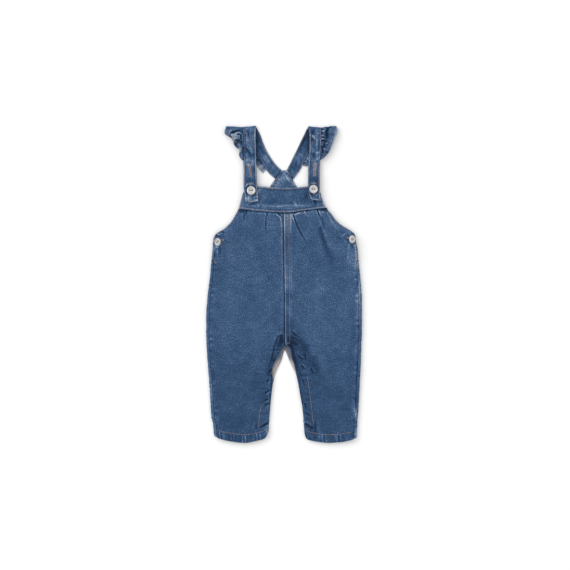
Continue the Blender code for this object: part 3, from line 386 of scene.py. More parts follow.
# Places that washing has left paler, or darker where the lift is negative: ovals of soft outline,
# with half their length and width, and their turn in radians. Many of the dark ovals are painted
# shade: round the side buttons, under the bib's seam, about the crotch and the inner right leg, and
# on the back halves of the straps beside the front straps and under the peak.
WASH_AND_SHADE = tables(
    "x y long wide turn lift",
    front_left=[
        (-69, 124.6, 7, 1, 0, 0.4), (-72, 122.4, 6, 2.4, 0, -0.75), (-69, 121.2, 7, 1.4, 0.1, -0.5),
        (-16, 121, 6, 3, 0, 0.25), (-60, 120.6, 5, 1.6, 0, -0.5), (-57.8, 120.2, 1.2, 1.4, 0, 0.5),
        (-30, 120, 20, 7, 0, 0.14), (-17, 120, 8, 2, 0, 0.2), (-70, 119.2, 7, 1.6, 0, -0.5),
        (-55, 119, 16, 4, 0, -0.12), (-5, 117, 6, 1.2, 0, -0.4), (-62.6, 116.6, 5, 1, 2.1, -0.4),
        (-38, 116.6, 5, 1.6, 0.2, 0.2), (-27.8, 116, 6, 1, 1.57, -0.5), (-21, 116, 5, 1.3, 0, 0.3),
        (-15, 115.2, 8, 1.4, 0.1, -0.2), (-73.6, 114.6, 3.4, 1.6, 1.5, 0.2),
        (-9.6, 113.4, 3.6, 1.1, 2.4, 0.3), (-69.8, 113, 5, 1.4, 1.7, 0.35),
        (-67.2, 112.4, 4.6, 1.2, 1.5, -0.45), (-65.8, 110.4, 5, 0.8, 1.57, -0.5),
        (-31, 106, 8, 4, 1.57, 0.12), (-69, 105, 6, 3.4, 1.6, 0.12), (-5.6, 104, 9, 1.3, 1.7, 0.4),
        (-92, 102, 12, 4, 0.75, 0.2), (-30, 100, 11, 0.9, 1.57, -0.4), (-16, 100, 16, 8, 1.57, 0.08),
        (-1.6, 98, 24, 0.9, 1.57, -0.5), (-45, 95, 16, 7, 1.5, -0.1), (-96, 94, 4, 3, 0.8, -0.1),
        (-85, 94, 10, 3, 1.5, 0.12), (-3.6, 92, 16, 1.3, 1.6, 0.4), (-106, 91, 6, 1.6, 0.45, 0.35),
        (-95, 91, 8, 3, 0.6, 0.12), (-110, 90, 5, 2, 0.7, -0.1), (-20, 88, 12, 7, 1.6, 0.09),
        (-107.4, 87.6, 5, 1.4, 0.4, -0.2), (-45, 86, 16, 7, 1.57, -0.12),
        # Dark ovals round the side button, from here down to y 72, are painted shade.
        (-109, 82.8, 4, 1.2, 2.6, 0.4), (-111, 80.6, 6, 1.2, 0, -0.5), (-101, 80, 3.4, 1.6, 2.6, -0.4),
        (-109.6, 79.4, 5, 1.3, 2.6, -0.5), (-104.6, 78.6, 3, 1.4, -0.6, -0.4),
        (-24, 78, 12, 5, 1.57, 0.12), (-120, 74, 8, 2, 1.57, -0.3), (-118, 72, 8, 1.4, 1.57, -0.6),
        (-117, 72, 9, 1, 1.57, -0.7), (-90, 69, 14, 7, 0.1, -0.14), (-104.6, 63.4, 3, 2.4, 0, 0.25),
        (-110, 62, 4, 2, 0, 0.5), (-112.4, 61.6, 4.6, 1.4, 0.1, 0.3), (-108, 58.6, 2.4, 2.4, 0, -0.25),
        (-56, 58, 12, 6, 1.9, 0.12), (-114.4, 57.6, 3.4, 1.4, 1.6, 0.2), (-53, 54, 10, 5, 1.57, 0.12),
        (-107, 53, 8, 2, 1.6, -0.35), (-104, 48, 12, 6, 1.4, -0.2), (-101, 48, 9, 6, 0, 0.15),
        (-115, 47, 4, 3, 0, -0.4), (-92, 46, 16, 9, 2.4, 0.16), (-105, 43, 7, 5, 0, 0.25),
        (-114.4, 36, 6, 2, 1.6, -0.25), (-85, 36, 16, 8, 0.6, 0.1), (-28, 28, 14, 5, 2.1, -0.1),
        (-3, 24, 24, 3, 1.57, 0.12), (-31, 20, 22, 5, 2.2, -0.14), (-30, 20, 18, 6, 2.2, -0.08),
        (-112, 16, 9, 4, 1.57, -0.12), (-104, 8, 18, 8, 2.4, -0.08), (-95, 8, 14, 10, 0.6, -0.1),
        (-22, 8, 8, 8, 0, -0.1), (-75, 0, 20, 12, 0.6, 0.03), (-40, -12, 14, 9, 0, 0.07),
        (-118, -28, 10, 3, 1.5, 0.2), (-94, -44, 16, 9, 1.2, 0.12), (-60, -45, 18, 8, 2.8, -0.07),
        (-1.6, -70, 14, 1.2, 1.57, -0.4), (-3, -72, 14, 2.4, 1.5, -0.1), (-22, -74, 9, 7, 0, 0.08),
        (-8, -74, 6, 3, 1.57, -0.25), (-22, -78, 6, 5, 0, 0.12), (-9, -80, 4, 4, 0, 0.3),
        (-5, -82, 2, 4, 0, 0.3), (-20, -88, 10, 9, 0, 0.12), (0, -90, 7, 1.4, 1.57, 0.3),
        # Dark ovals by the crotch and down the inner leg, from here down to y -146, are painted shade.
        (-110, -92, 14, 8, 1.6, -0.1), (-4.6, -92, 9, 5.4, 1.3, -0.95), (-9, -100, 16, 6, 1.1, -0.45),
        (-100, -112, 22, 14, 2.4, -0.1), (-105, -124, 24, 9, 1.9, -0.1),
        (-17.4, -124.4, 5, 1.6, 1.2, -0.5), (-20, -128, 20, 6, 1.2, -0.35),
        (-24.6, -146, 10, 4, 1.4, -0.45), (-12, -146, 12, 3, 1.2, 0.1),
        (-123, -150, 30, 2.4, 1.6, 0.15), (-119.6, -155, 20, 2, 1.57, 0.2),
        (-118.6, -176, 12, 3, 1.57, 0.2), (-116, -178, 18, 5, 1.5, 0.15), (-33, -188, 14, 5, 1.5, -0.2),
        (-52, -190, 14, 5, 2.1, -0.08), (-26, -190, 30, 4.6, 1.5, -0.1), (-28.4, -200.6, 3, 2, 0, -0.2),
        (-29.4, -204.4, 3, 2.4, 0.5, 0.35), (-62, -205, 22, 16, 1.57, 0.08),
        (-26, -206, 10, 3, 1.5, 0.15), (-23.4, -206, 9, 1.4, 1.5, 0.3), (-24, -214, 9, 1.4, 1.5, 0.2),
        (-29.4, -231.6, 3, 2, 0.6, -0.2), (-30.4, -232, 6, 3, 0.6, -0.4), (-26, -233, 6, 1.4, 1.5, 0.2),
        (-80, -236, 12, 12, 0, -0.14), (-29, -238.6, 4.4, 1.3, 0.4, 0.35),
        (-80, -240, 20, 9, 1.57, -0.1), (-110, -241, 5, 2.4, 0.5, 0.2), (-105, -242, 8, 6, 0, 0.2),
        (-28, -243, 6, 3, 1.5, 0.4), (-28.6, -244, 1.6, 5, 0, 0.5), (-28, -244, 7, 3, 1.5, 0.4),
        (-108, -247, 5, 3, 0.6, 0.2), (-47, -248, 2.4, 4, 0.1, 0.25), (-88, -249, 3.4, 5, 0.1, -0.3),
        (-98, -251, 2.2, 5, 0.1, 0.4), (-70.4, -251, 2, 6, 0.1, -0.35), (-65, -251, 2, 6, 0.1, 0.35),
        (-41, -251.4, 1.8, 5, 0.2, 0.35), (-56.4, -252, 2.6, 5, 0.1, -0.35),
        (-76.6, -253, 1.8, 6, 0.1, 0.4), (-34, -253, 4, 1.8, 0.3, -0.3),
    ],
    front_right=[
        # Dark ovals along the bib's seam, down to y 120, are painted shade.
        (65, 126.4, 4, 1.4, 0.1, 0.25), (60, 125, 6, 1, 0.05, 0.4), (62, 123.6, 9, 2.6, 0.1, -0.7),
        (66, 122, 8, 1.6, 0.1, -0.5), (46.4, 121.6, 6, 1.2, 0.2, 0.2), (70, 120.6, 4, 1.2, -0.4, -0.4),
        (64, 118.6, 5, 1.3, 0, 0.25), (35, 118.4, 16, 2.2, 0.2, 0.25), (58.6, 118.4, 3.4, 1, 2.2, 0.25),
        (68, 118, 9, 5, 2.4, -0.2), (5, 117.4, 13, 1.3, 0, -0.5), (20, 117, 18, 4, 0.2, 0.12),
        (34.8, 117, 3.4, 0.8, 1.95, 0.4), (66, 117, 6, 3, -0.5, 0.2), (24, 116.6, 8, 1.3, 0.35, 0.25),
        (13.4, 113, 4.6, 1.5, 1.7, 0.4), (5.4, 110, 8, 2, 1.57, 0.25), (75, 110, 9, 2, 2.1, 0.3),
        (0.6, 104, 14, 1.1, 1.57, 0.5), (10.6, 104, 15, 1.5, 1.57, 0.4), (58, 103, 3, 6, 0, 0.2),
        (18.4, 102.6, 9, 1, 2, 0.15), (64.6, 101, 10, 2.4, 1.8, -0.3), (55, 100, 7, 2, 1.6, -0.2),
        (4, 98, 14, 6, 1.57, 0.15), (22, 98, 9, 5, 1.8, -0.16), (84, 97, 12, 3, 2.3, 0.16),
        (86, 97, 12, 6, 2.5, 0.2), (24, 95, 12, 6, 2, -0.1), (52, 92, 14, 7, 1.8, -0.1),
        (84, 92, 12, 8, 0.4, 0.1), (99, 92, 5, 1.6, 2.6, 0.3), (109, 89, 5, 2, 2.5, 0.25),
        (5, 88, 8, 5, 1.57, 0.15), (66, 88, 18, 2.6, 1.9, 0.25), (107.4, 85, 5, 2.2, -0.6, 0.45),
        (64, 84, 24, 5, 1.86, -0.12), (88, 84, 12, 6, 0.2, -0.15), (108.6, 83.2, 3.4, 1.4, -0.3, 0.3),
        # Dark ovals round the side button, from here down to y 68, are painted shade.
        (112, 83, 5, 1.2, 2.6, -0.6), (99.4, 82.2, 4.4, 1, 0.5, 0.35), (118, 78, 8, 1, 1.57, -0.7),
        (92, 76, 6, 3, 0.3, -0.06), (104.4, 76, 6, 1.4, 1.57, -0.6), (118.4, 76, 6, 1.2, 1.57, -0.5),
        (113, 75, 3, 4, 0, -0.25), (118.6, 74, 6, 1.2, 1.57, -0.5), (5, 72, 24, 6, 1.57, -0.35),
        (64, 72, 20, 7, 2.1, -0.14), (92, 72, 9, 4, 0.2, -0.15), (106, 72, 4, 1, 1.6, -0.6),
        (103, 70, 3, 2.6, 0, 0.3), (112, 68, 4, 1.2, 0, -0.5), (4, 66, 8, 5, 1.57, -0.1),
        (88, 66, 10, 8, 0, 0.1), (102, 66, 4, 4, 0, 0.25), (111, 65.6, 3, 1.6, 0, 0.3),
        (115.6, 65.6, 4, 1.4, 0.9, 0.3), (112.4, 62, 4.6, 1.4, 1.8, -0.25),
        (106.4, 61, 5, 1.6, 1.6, 0.2), (88, 60, 18, 10, 1.6, -0.1), (115, 58, 8, 1.2, 1.6, 0.3),
        (44, 55, 10, 5, 1.3, 0.08), (118, 52, 8, 1.6, 1.6, 0.2), (72, 50, 8, 4, 1.9, -0.15),
        (106, 50, 10, 1.6, 1.57, 0.3), (112, 50, 12, 7, 1.57, 0.2), (118.4, 50, 10, 1.2, 1.66, 0.35),
        (76, 46, 16, 8, 2, -0.18), (109, 42, 22, 9, 1.6, 0.2), (5, 40, 26, 7, 1.57, -0.2),
        (90, 38, 9, 6, 0, -0.13), (6, 36, 5, 4, 1.57, -0.12), (45, 34, 12, 6, 1.57, -0.13),
        (119.6, 34, 16, 1.8, 1.6, 0.35), (119, 32, 12, 2, 1.6, 0.25), (118.6, 30, 9, 5, 1.57, 0.2),
        (6, 22, 30, 5, 1.57, 0.14), (2, 14, 16, 2.4, 1.57, 0.15), (11, 12, 9, 2, 1.57, 0.3),
        (122, 10, 20, 2, 1.57, -0.15), (14, 4, 12, 8, 0, 0.1), (125, 0, 10, 3.4, 1.57, 0.35),
        (30, -5, 10, 6, 0.6, -0.12), (124, -12, 26, 2.4, 1.57, 0.25), (76, -14, 18, 10, 0, 0.08),
        (5, -16, 9, 9, 0, -0.22), (5.6, -16, 12, 5, 1.57, -0.2), (108, -18, 14, 10, 0, -0.1),
        (18, -22, 12, 7, 0, -0.12), (121.4, -22, 34, 3, 1.57, 0.25), (6, -24, 7, 5, 1.57, -0.15),
        (124.8, -24, 16, 3, 1.57, 0.2), (11.6, -32, 12, 1.6, 1.57, 0.2),
        (1.4, -45, 22, 1.2, 1.57, 0.35), (126, -46, 14, 3.4, 1.57, 0.3), (11, -48, 16, 1.4, 1.57, 0.3),
        (123.4, -52, 46, 2, 1.57, 0.15), (38, -60, 16, 9, 0, 0.05), (44, -62, 8, 6, 0, 0.07),
        (8.6, -68, 12, 6, 1.57, -0.25), (15, -73, 6, 5, 0, -0.3), (64, -76, 14, 8, 2.4, 0.1),
        (116, -76, 16, 8, 1.9, -0.13), (106, -78, 14, 10, 0, -0.08), (4, -82, 22, 6, 1.57, -0.3),
        # Dark ovals by the crotch and down the inner leg, from here down to y -139, are painted shade.
        (118.4, -82, 8, 3, 1.57, -0.2), (1, -84, 8, 2.4, 1.57, 0.2), (16, -84, 7, 3, -0.6, -0.35),
        (2, -88, 8, 4, 1.57, 0.25), (6, -92, 3.4, 9, 0, -0.4), (86, -94, 9, 9, 0, -0.1),
        (112, -94, 14, 10, 0, -0.08), (3, -95, 1.6, 6, 0, 0.5), (16.6, -95, 7, 8, 0.6, -0.6),
        (27, -98, 14, 9, -0.9, -0.4), (120, -100, 8, 3, 1.6, 0.15), (124, -102, 12, 2.4, 1.57, 0.25),
        (13.6, -108, 22, 3.6, 1.8, -0.9), (29.6, -116.4, 2.6, 1, -0.9, -0.35),
        (38, -118, 20, 9, -1.1, -0.3), (29, -122, 4.4, 1.2, -0.5, -0.45), (48, -122, 12, 5, 1.9, 0.13),
        (35, -124, 12, 8, 1.9, -0.15), (119.6, -124, 6, 2, 1.57, 0.2), (27, -135, 5, 4, 1.57, 0.2),
        (23, -136, 20, 4.6, 1.85, -0.3), (49, -138, 22, 7, -1.3, -0.15),
        (120.4, -138, 10, 1.3, 1.6, -0.3), (33, -139, 2.4, 1.2, -0.6, -0.35),
        (90, -168, 16, 22, 0, 0.1), (117.4, -172, 6, 1.6, 1.6, 0.25), (43, -190, 24, 5, 1.6, -0.1),
        (52, -190, 14, 5, 1.8, -0.08), (119, -194, 10, 1.8, 1.5, -0.3), (34, -200, 26, 3, 1.66, 0.2),
        (116.4, -211, 9, 1.8, 1.57, 0.45), (117.4, -211, 9, 1.6, 1.57, 0.4),
        (116, -212, 12, 6, 1.57, 0.15), (91, -214, 14, 5, 2, -0.12), (118, -214, 10, 2, 1.6, 0.4),
        (33.6, -218, 7, 1.6, 1.6, 0.3), (95, -218, 12, 9, 0, 0.06), (72, -228, 12, 9, 0, -0.08),
        (33.6, -230, 5, 1.6, 1.6, 0.7), (38, -234, 7, 4, -0.5, -0.5), (46, -236, 5, 2.6, 1.2, -0.35),
        (57, -236, 9, 2.4, 1.57, 0.35), (36.6, -238, 4.6, 1.4, -0.3, 0.35), (36, -240, 9, 3, 1.5, 0.2),
        (37.4, -240.6, 3.4, 1.8, 0, 0.25), (38, -246, 6, 5, 0, 0.35), (117, -246, 6, 2.2, 1.57, 0.35),
        (102, -247, 4, 3, 0, -0.25), (46.4, -247.6, 2, 3, 0, -0.25), (118, -248, 4, 2, 1.57, 0.3),
        (76, -249, 3, 4, 0, -0.2), (80, -250, 14, 6, 0, 0.08), (110, -250, 2.4, 5, 0, -0.25),
        (51.4, -251, 2, 5, 0, -0.3), (60, -251, 5, 6, 0, 0.35), (57.6, -252, 2, 5, 0, 0.3),
        (41, -252.4, 4, 2.8, -0.5, 0.4), (58, -253, 2, 4, 0, 0.25), (84.6, -253, 1.8, 5, 0, 0.4),
    ],
    back_left=[
        (-20, 96, 34, 9, 1.57, -0.1), (-60, 88, 20, 14, 2.2, 0.1), (-52, -20, 44, 34, 1.57, 0.12),
        (-96, -60, 34, 9, 1.6, -0.1), (-14, -84, 20, 9, 1.2, -0.25), (-112, -120, 34, 4, 1.6, 0.2),
        (-70, -140, 30, 22, 1.57, -0.1), (-80, -224, 18, 12, 0, 0.1),
    ],
    back_right=[
        (52, 96, 18, 12, 0.9, 0.1), (84, 40, 24, 12, 1.2, -0.1), (56, -14, 40, 32, 1.57, 0.12),
        (114, -60, 40, 4, 1.57, 0.2), (16, -82, 22, 9, 1.9, -0.25), (66, -132, 26, 20, 1.57, -0.1),
        (84, -200, 26, 16, 1.57, 0.08),
    ],
    bib=[
        (-36, 161, 8, 1.6, 0, 0.3), (-40, 158.4, 6, 4, 0, 0.2), (52, 157, 5, 3, 0, 0.2),
        (-40, 156, 8, 3, 1.57, 0.3), (-44, 154, 6, 4, 0, 0.25), (13.4, 151, 5, 1.2, 2.1, 0.3),
        (-22, 150, 5, 6, 0, -0.15), (20, 150, 6, 5, 0, 0.1), (27, 150, 8, 3, 2.5, -0.2),
        (-20, 147, 3, 2.4, 0, -0.3), (-38.4, 146, 12, 2.6, 1.57, -0.2), (-2, 146, 14, 8, 0.2, -0.12),
        (56, 145, 3, 4, 0, 0.3), (36.6, 144, 10, 2.6, 1.5, -0.45), (61, 144, 6, 1.4, 2.1, 0.35),
        (-34, 142, 5, 9, 0, 0.1), (-16, 138, 9, 4, 0.7, -0.3), (-14, 138, 12, 5, 0.3, -0.12),
        (44, 138, 8, 3, 2.6, -0.3), (-68, 136, 8, 3, 1.3, 0.15), (34, 136, 6, 4, 2.5, -0.12),
        (56, 136, 6, 3, 2.4, -0.15), (61.4, 136, 5, 2, 2, -0.25), (51, 135.4, 3.4, 2.6, 2.2, -0.7),
        (50, 135, 5, 3, 0.2, -0.35), (12, 134.6, 9, 2.6, 0.1, -0.12), (-5, 134, 12, 4, 0.2, -0.12),
        (18.6, 134, 2.4, 4, 0, 0.2), (-50.6, 133.4, 8, 1.6, 0.3, -0.4), (63.4, 133, 7, 2.4, 2, 0.35),
        (25.6, 132.4, 5, 1.4, 2.2, 0.2), (52, 131, 5, 2, 0.4, -0.3), (55.6, 131, 4, 1.2, 0.4, 0.25),
        (-58, 130.4, 8, 1.6, 0, 0.2), (20, 129.4, 7, 3.4, 0, 0.42), (36, 129.4, 8, 2, 0.1, 0.2),
        (31.6, 129, 5, 1.4, 0, 0.25), (65, 129, 7, 1.6, 0.2, 0.3), (7, 128.6, 7, 2.8, 0, 0.4),
        (-7, 128.4, 7, 3, 0, 0.35), (-26, 128.2, 12, 2.8, 0, 0.35), (-66, 127.6, 8, 1.4, -0.1, 0.25),
        (26, 127.6, 9, 3.4, 0, 0.2), (-42, 127, 18, 3.4, 0, 0.12), (-30, 126, 16, 6, 0, 0.15),
        (4, 126, 12, 3.4, 0, 0.2),
    ],
    back_peak=[
        (3.8, 190, 2.6, 1.6, -0.8, -0.4), (-1.2, 187.2, 2.6, 2, 0, 0.4), (1, 187.2, 4, 1.6, 0, 0.5),
        (2, 186, 4, 2, 0, 0.25), (-8, 184, 4, 2.4, 0.9, 0.35), (-8, 182, 6, 4, 0.8, -0.45),
        (0, 181, 5, 4, 0, 0.35), (8, 180, 7, 3, 2.2, -0.25), (1, 179.6, 3, 3, 0, -0.2),
        (-14, 174.6, 5, 1.6, 0.9, -0.3), (-10, 174, 4, 3, 0, 0.25), (2, 174, 9, 5, 0, 0.55),
        (9, 173, 8, 1.2, 2.2, 0.5), (6, 172, 8, 1, 2.2, -0.3), (-8, 168, 9, 4, 1, 0.35),
        (3, 168, 5, 4, 0, -0.2), (-16, 167, 5, 3, 0.9, 0.3), (13, 166, 9, 3.4, 2.2, 0.2),
        (17, 166, 5, 3, 2.2, 0.35), (-20, 164, 4, 3, 0.8, -0.15), (-5, 164, 5, 1.6, 0.6, 0.25),
        (16, 164, 3, 3, 0, 0.4), (-15, 163, 5, 4, 0, 0.3), (0, 158, 16, 3, 0, 0.3),
    ],
    strap_left=[
        # Dark ovals at x above -45 lie on the back half, beside the front strap and under the peak, and
        # are painted shade.
        (-62, 258.6, 4, 2.4, 0.2, 0.35), (-55.6, 255, 3, 1.8, 1.2, 0.2),
        (-64.6, 252.4, 3.4, 1.6, 1.2, 0.25), (-50.4, 252, 5, 1.8, 1.57, 0.3),
        (-51.6, 248.4, 4, 2, 1.57, -0.25), (-59.6, 247, 7, 2, 1.5, -0.45),
        (-61, 245, 8, 1.3, 1.4, 0.25), (-55.6, 245, 6, 1.8, 1.57, -0.25), (-64, 244, 7, 3, 1.4, -0.15),
        (-52, 244, 4, 2, 0.6, 0.2), (-48.6, 244, 8, 1.2, 1.57, 0.2), (-44, 243, 4, 3, 1, 0.35),
        (-38, 241, 12, 3, 2.1, -0.25), (-51, 240, 2, 5, 0, 0.3), (-52.4, 239, 4, 1.2, 1.6, 0.3),
        (-59.5, 236.6, 5, 3, 1, 0.25), (-44.6, 236, 9, 3, 2.2, -0.35),
        (-66.6, 232, 26, 2.2, 1.57, -0.4), (-42, 231, 6, 2.6, 1, 0.3),
        (-60.4, 229.6, 6, 1.6, 2.2, 0.25), (-62.4, 228, 4.4, 3, 0, -0.2), (-33, 226, 8, 3, 2.1, 0.2),
        (-54.4, 224, 9, 1.8, 2, 0.3), (-58.6, 223.6, 5, 2.2, 2.2, -0.3), (-53.6, 222, 6, 1.3, 2.2, 0.3),
        (-36, 222, 6, 2, 2, -0.3), (-39.4, 220, 9, 3, 1.95, -0.3), (-59.6, 217.6, 9, 1.6, 2.2, -0.4),
        (-66, 216, 8, 3, 1.57, -0.4), (-65.2, 215, 10, 1.5, 1.57, 0.3), (-64.6, 215, 9, 3, 1.57, -0.3),
        (-61, 214, 4, 1.8, 0.7, 0.2), (-33.6, 214, 4, 1.4, 0.6, -0.3),
        (-51.6, 212.6, 4, 1.6, 1.8, -0.3), (-43, 212, 7, 3, 2.2, -0.3), (-28, 212, 6, 2.4, 1, 0.25),
        (-41.6, 210, 7, 3.4, 1.9, -0.3), (-58.4, 208.6, 5, 2.6, 1.57, -0.25),
        (-30, 207, 9, 3.6, 2.2, 0.4), (-60.4, 205.6, 5, 1.8, 0.9, 0.4), (-57, 205, 6, 5, 0, 0.15),
        (-37.4, 205, 3, 2, 0, -0.35), (-50.4, 204, 5, 2.2, 1.57, 0.3), (-28, 204, 9, 5, 2.2, 0.25),
        (-53.6, 203, 4, 2, 2.2, 0.4), (-57, 202, 2, 2.4, 0, -0.2), (-63, 200, 12, 3, 1.57, 0.2),
        (-51, 199, 4, 5, 1.57, 0.25), (-24, 199, 4, 2, 0.5, -0.3), (-53, 197.6, 2.4, 4, 0, 0.15),
        (-61.6, 197, 3, 2.6, 0, 0.2), (-28.4, 196, 3, 2, 0, 0.2), (-18, 191, 7, 2, 2.2, 0.15),
        (-62.6, 190, 3, 9, 0, -0.2), (-66.4, 188, 14, 1.3, 1.57, 0.35), (-51, 186, 2.6, 8, 0, -0.2),
        (-16, 184, 6, 4, 2.2, -0.35), (-62, 182, 9, 3, 1.57, 0.15), (-55.4, 176.2, 4, 2.6, 0, 0.2),
        (-46.5, 176, 12, 1.6, 1.57, -0.2), (-56, 172, 8, 4, 0, -0.4), (-49, 168, 9, 2, 1.57, -0.25),
        (-43.4, 152, 14, 1.2, 1.57, 0.5), (-44.8, 150, 12, 1, 1.57, 0.55),
        (-62.6, 148, 7, 1.4, 1.57, -0.3), (-64.4, 144, 6, 1.2, 1.57, 0.4),
        (-58.6, 143.6, 3, 3.4, 0.3, 0.7), (-48.4, 143.6, 2, 4.4, 0, 0.25),
        (-52, 143.4, 2, 2.6, 0, -0.3), (-48, 143.4, 6, 3, 0, 0.2), (-64.4, 141, 4, 1.3, 1.57, 0.4),
        (-58, 141, 7, 4, 0, 0.4), (-64.2, 139.4, 1.6, 1.8, 0, 0.6), (-44.6, 138.4, 1.6, 1.8, 0, 0.7),
        (-53, 137, 9, 1.4, 0.08, 0.35),
    ],
    strap_right=[
        # Dark ovals at x below 40 lie on the back half, beside the front strap and under the peak, and
        # are painted shade.
        (51, 257.6, 2.4, 1, 1.57, -0.4), (47.6, 252, 6, 3, 1.57, -0.55), (36, 250, 12, 2.4, 1.1, -0.4),
        (56, 249.6, 2.4, 1.8, 0, 0.2), (36.4, 246.6, 4.6, 2.6, 1.1, 0.25),
        (48.6, 243.6, 4.4, 0.9, 2.2, 0.5), (30, 242, 16, 5, 1.1, -0.35),
        (53.6, 240, 17, 1.4, 1.57, 0.2), (47, 238.6, 2.6, 3.4, 0, -0.5), (31.4, 238, 12, 3, 1.1, -0.5),
        (32, 236, 12, 4, 1.1, -0.25), (44, 236, 10, 1.6, 1.57, -0.35), (51, 236, 1.2, 8, 0, -0.25),
        (48, 231.6, 3.4, 3.4, 0, 0.2), (30, 226, 3, 2, 0, 0.3), (33, 226, 12, 4, 1.2, -0.2),
        (44.6, 225.6, 2.8, 2.6, 0, 0.25), (50.6, 225.4, 1.6, 2.2, 0, -0.35),
        (56.6, 225, 2.2, 5, 0, -0.3), (24, 224, 12, 3, 1.1, -0.25), (49, 221.6, 4, 0.9, 2.3, 0.5),
        (24.2, 221.4, 5, 2.4, 1.1, -0.3), (33.6, 219, 5, 2, 1.2, -0.4), (55, 218, 6, 0.9, 0, 0.45),
        (24.6, 217, 3, 1.6, 2.4, 0.3), (48.8, 214.2, 3.4, 4.2, 0, -0.35), (53, 214, 3, 3, 0, 0.3),
        (27.6, 212, 4, 2, 2.4, 0.35), (45, 212, 12, 3, 1.57, 0.2), (55.6, 211, 2, 4, 0, 0.15),
        (20, 210, 5, 4, 0, 0.15), (20, 210, 6, 3, 1.1, 0.2), (16, 208, 10, 2, 1.1, -0.2),
        (21.6, 206, 7, 4, 1, 0.3), (50, 205.4, 6, 1.8, 0.2, 0.3), (14.4, 199, 5, 1.8, 1.1, -0.3),
        (20, 196, 3, 3, 1, -0.3), (44.4, 196, 2.2, 6, 0, -0.25), (54.6, 196, 1.8, 6, 0, 0.15),
        (12.6, 194, 6, 5, 1, -0.35), (16, 192, 8, 6, 1, -0.25), (22, 190, 6, 5, 0.9, -0.2),
        (57, 190, 14, 2, 1.57, -0.2), (51, 188, 12, 4, 1.57, 0.15), (12, 187.6, 7, 1, -0.95, -0.5),
        (17, 187, 4, 2, 1, 0.15), (9.6, 186.4, 7, 1, -0.95, 0.5), (58, 184, 30, 1.4, 1.57, 0.25),
        (42.4, 176, 1.4, 10, 0, -0.2), (50, 172.6, 10, 4.6, 0, -0.45), (41.4, 172, 10, 2, 1.57, -0.3),
        (56, 166, 2, 6, 0, -0.4), (55, 162, 6, 2, 1.57, -0.3), (55.4, 155, 1.6, 4, 0, 0.3),
        (57.6, 152, 8, 1.6, 1.9, 0.3), (53.6, 147.4, 3, 1.8, 0, 0.3), (47, 147, 2, 1.6, 0, -0.35),
        (50, 146, 4, 1.6, 0, -0.1), (58.6, 144, 1.6, 2, 0, 0.4), (43.4, 143, 1.6, 2, 0, 0.6),
        (44, 143, 3, 2, 0, 0.3), (53, 140.6, 7, 1, -0.15, 0.3), (50, 139.8, 8, 1.4, -0.1, 0.4),
    ],
    frill_left=[
        (-92, 258.6, 6, 2, 0, -0.2), (-90, 258.6, 5, 1.8, 0, 0.15), (-80, 258.6, 12, 2, 0, 0.2),
        (-84, 258.4, 5.6, 1.6, 0, -0.2), (-91, 257.4, 6, 2.6, 0, -0.25),
        (-73.2, 257, 3.6, 1.6, 0, -0.2), (-84, 256.6, 7, 1.6, 0.1, 0.3), (-94, 256, 3, 3, 0, -0.2),
        (-88.6, 253.6, 3.4, 2, 0.3, 0.7), (-77, 253.4, 6, 1.4, 0.2, -0.45),
        (-86.6, 252.6, 3.6, 1.6, 0.3, -0.3), (-77, 252.6, 4, 1, 0, 0.2),
        (-82, 252.4, 4, 1.6, 0.2, -0.35), (-82, 251.6, 5, 1.6, 0.4, -0.5),
        (-79, 251.6, 8, 1.4, 0.15, -0.45), (-96.4, 251, 2.4, 2.4, 0, 0.3), (-89.4, 251, 2, 2, 0, 0.35),
        (-84.6, 250.6, 6, 1.4, 0.2, 0.4), (-90, 248.6, 2, 1.6, 0, 0.3),
        (-73.4, 247.6, 4, 1.2, 2.4, -0.4), (-95.4, 247.4, 3, 1.4, 2.4, 0.3),
        (-86, 247.4, 4, 1.8, 2.2, 0.35), (-76.4, 247.4, 1.8, 1.6, 0, 0.3),
        (-85.6, 246, 5, 1.8, 2.1, 0.4), (-73.4, 246, 2.4, 1.6, 0, 0.25), (-80, 245.6, 6, 3, 1.8, 0.45),
        (-81.4, 244.6, 6, 2.6, 1.6, 0.75), (-88.6, 244.4, 2.4, 1.2, 2.2, -0.4),
        (-78, 243.4, 5, 3.4, 0.3, 0.3), (-84, 242, 3, 1.4, 2.2, 0.35), (-80.4, 240.6, 3, 2, 0.4, 0.35),
        (-76, 239, 4, 2.4, 0, 0.35), (-76, 239, 5, 1.2, 0.1, -0.5), (-84.4, 238.4, 1.6, 2.4, 0.4, -0.3),
        (-75.4, 238, 3, 2.4, 0.6, -0.3), (-83.8, 237, 2, 3, 0, 0.2), (-75.2, 236.4, 4, 2.4, 2, -0.7),
        (-75.6, 236.2, 2.6, 2.2, 0, -0.5), (-78.6, 236, 4, 1.6, 1.57, -0.4), (-75, 236, 3, 2, 2, -0.4),
        (-78.4, 235.2, 2.4, 3, 0, -0.4), (-83.6, 234.6, 3, 1.6, 1.8, 0.35),
        (-74, 234.6, 2, 2.4, 0, -0.4), (-70.6, 234, 4, 1.2, 1.57, -0.4), (-82.6, 231, 2, 4, 0.5, -0.35),
        (-80.2, 230.4, 6, 1.6, 2.2, -0.35), (-80.6, 229.6, 2.4, 3, 0.5, -0.1),
        (-79, 228.6, 4, 2, 2.4, -0.3), (-73.4, 222.6, 3.2, 2.4, 0.4, 0.5),
        (-72.6, 222.6, 3.4, 1.8, 1.57, 0.5), (-71.6, 213, 1.6, 2.6, 0, 0.3),
        (-73, 212, 4, 1.8, 1.3, -0.3),
    ],
    frill_right=[
        (71, 261, 3.4, 2, 0, -0.4), (72.8, 261, 5, 2, 0, -0.3), (72.6, 260.6, 3.4, 1.6, 0, -0.3),
        (74, 260.4, 5, 2.4, 0, -0.3), (73, 260, 5, 2.4, 0, -0.35), (75, 260, 9, 1.8, 0, -0.25),
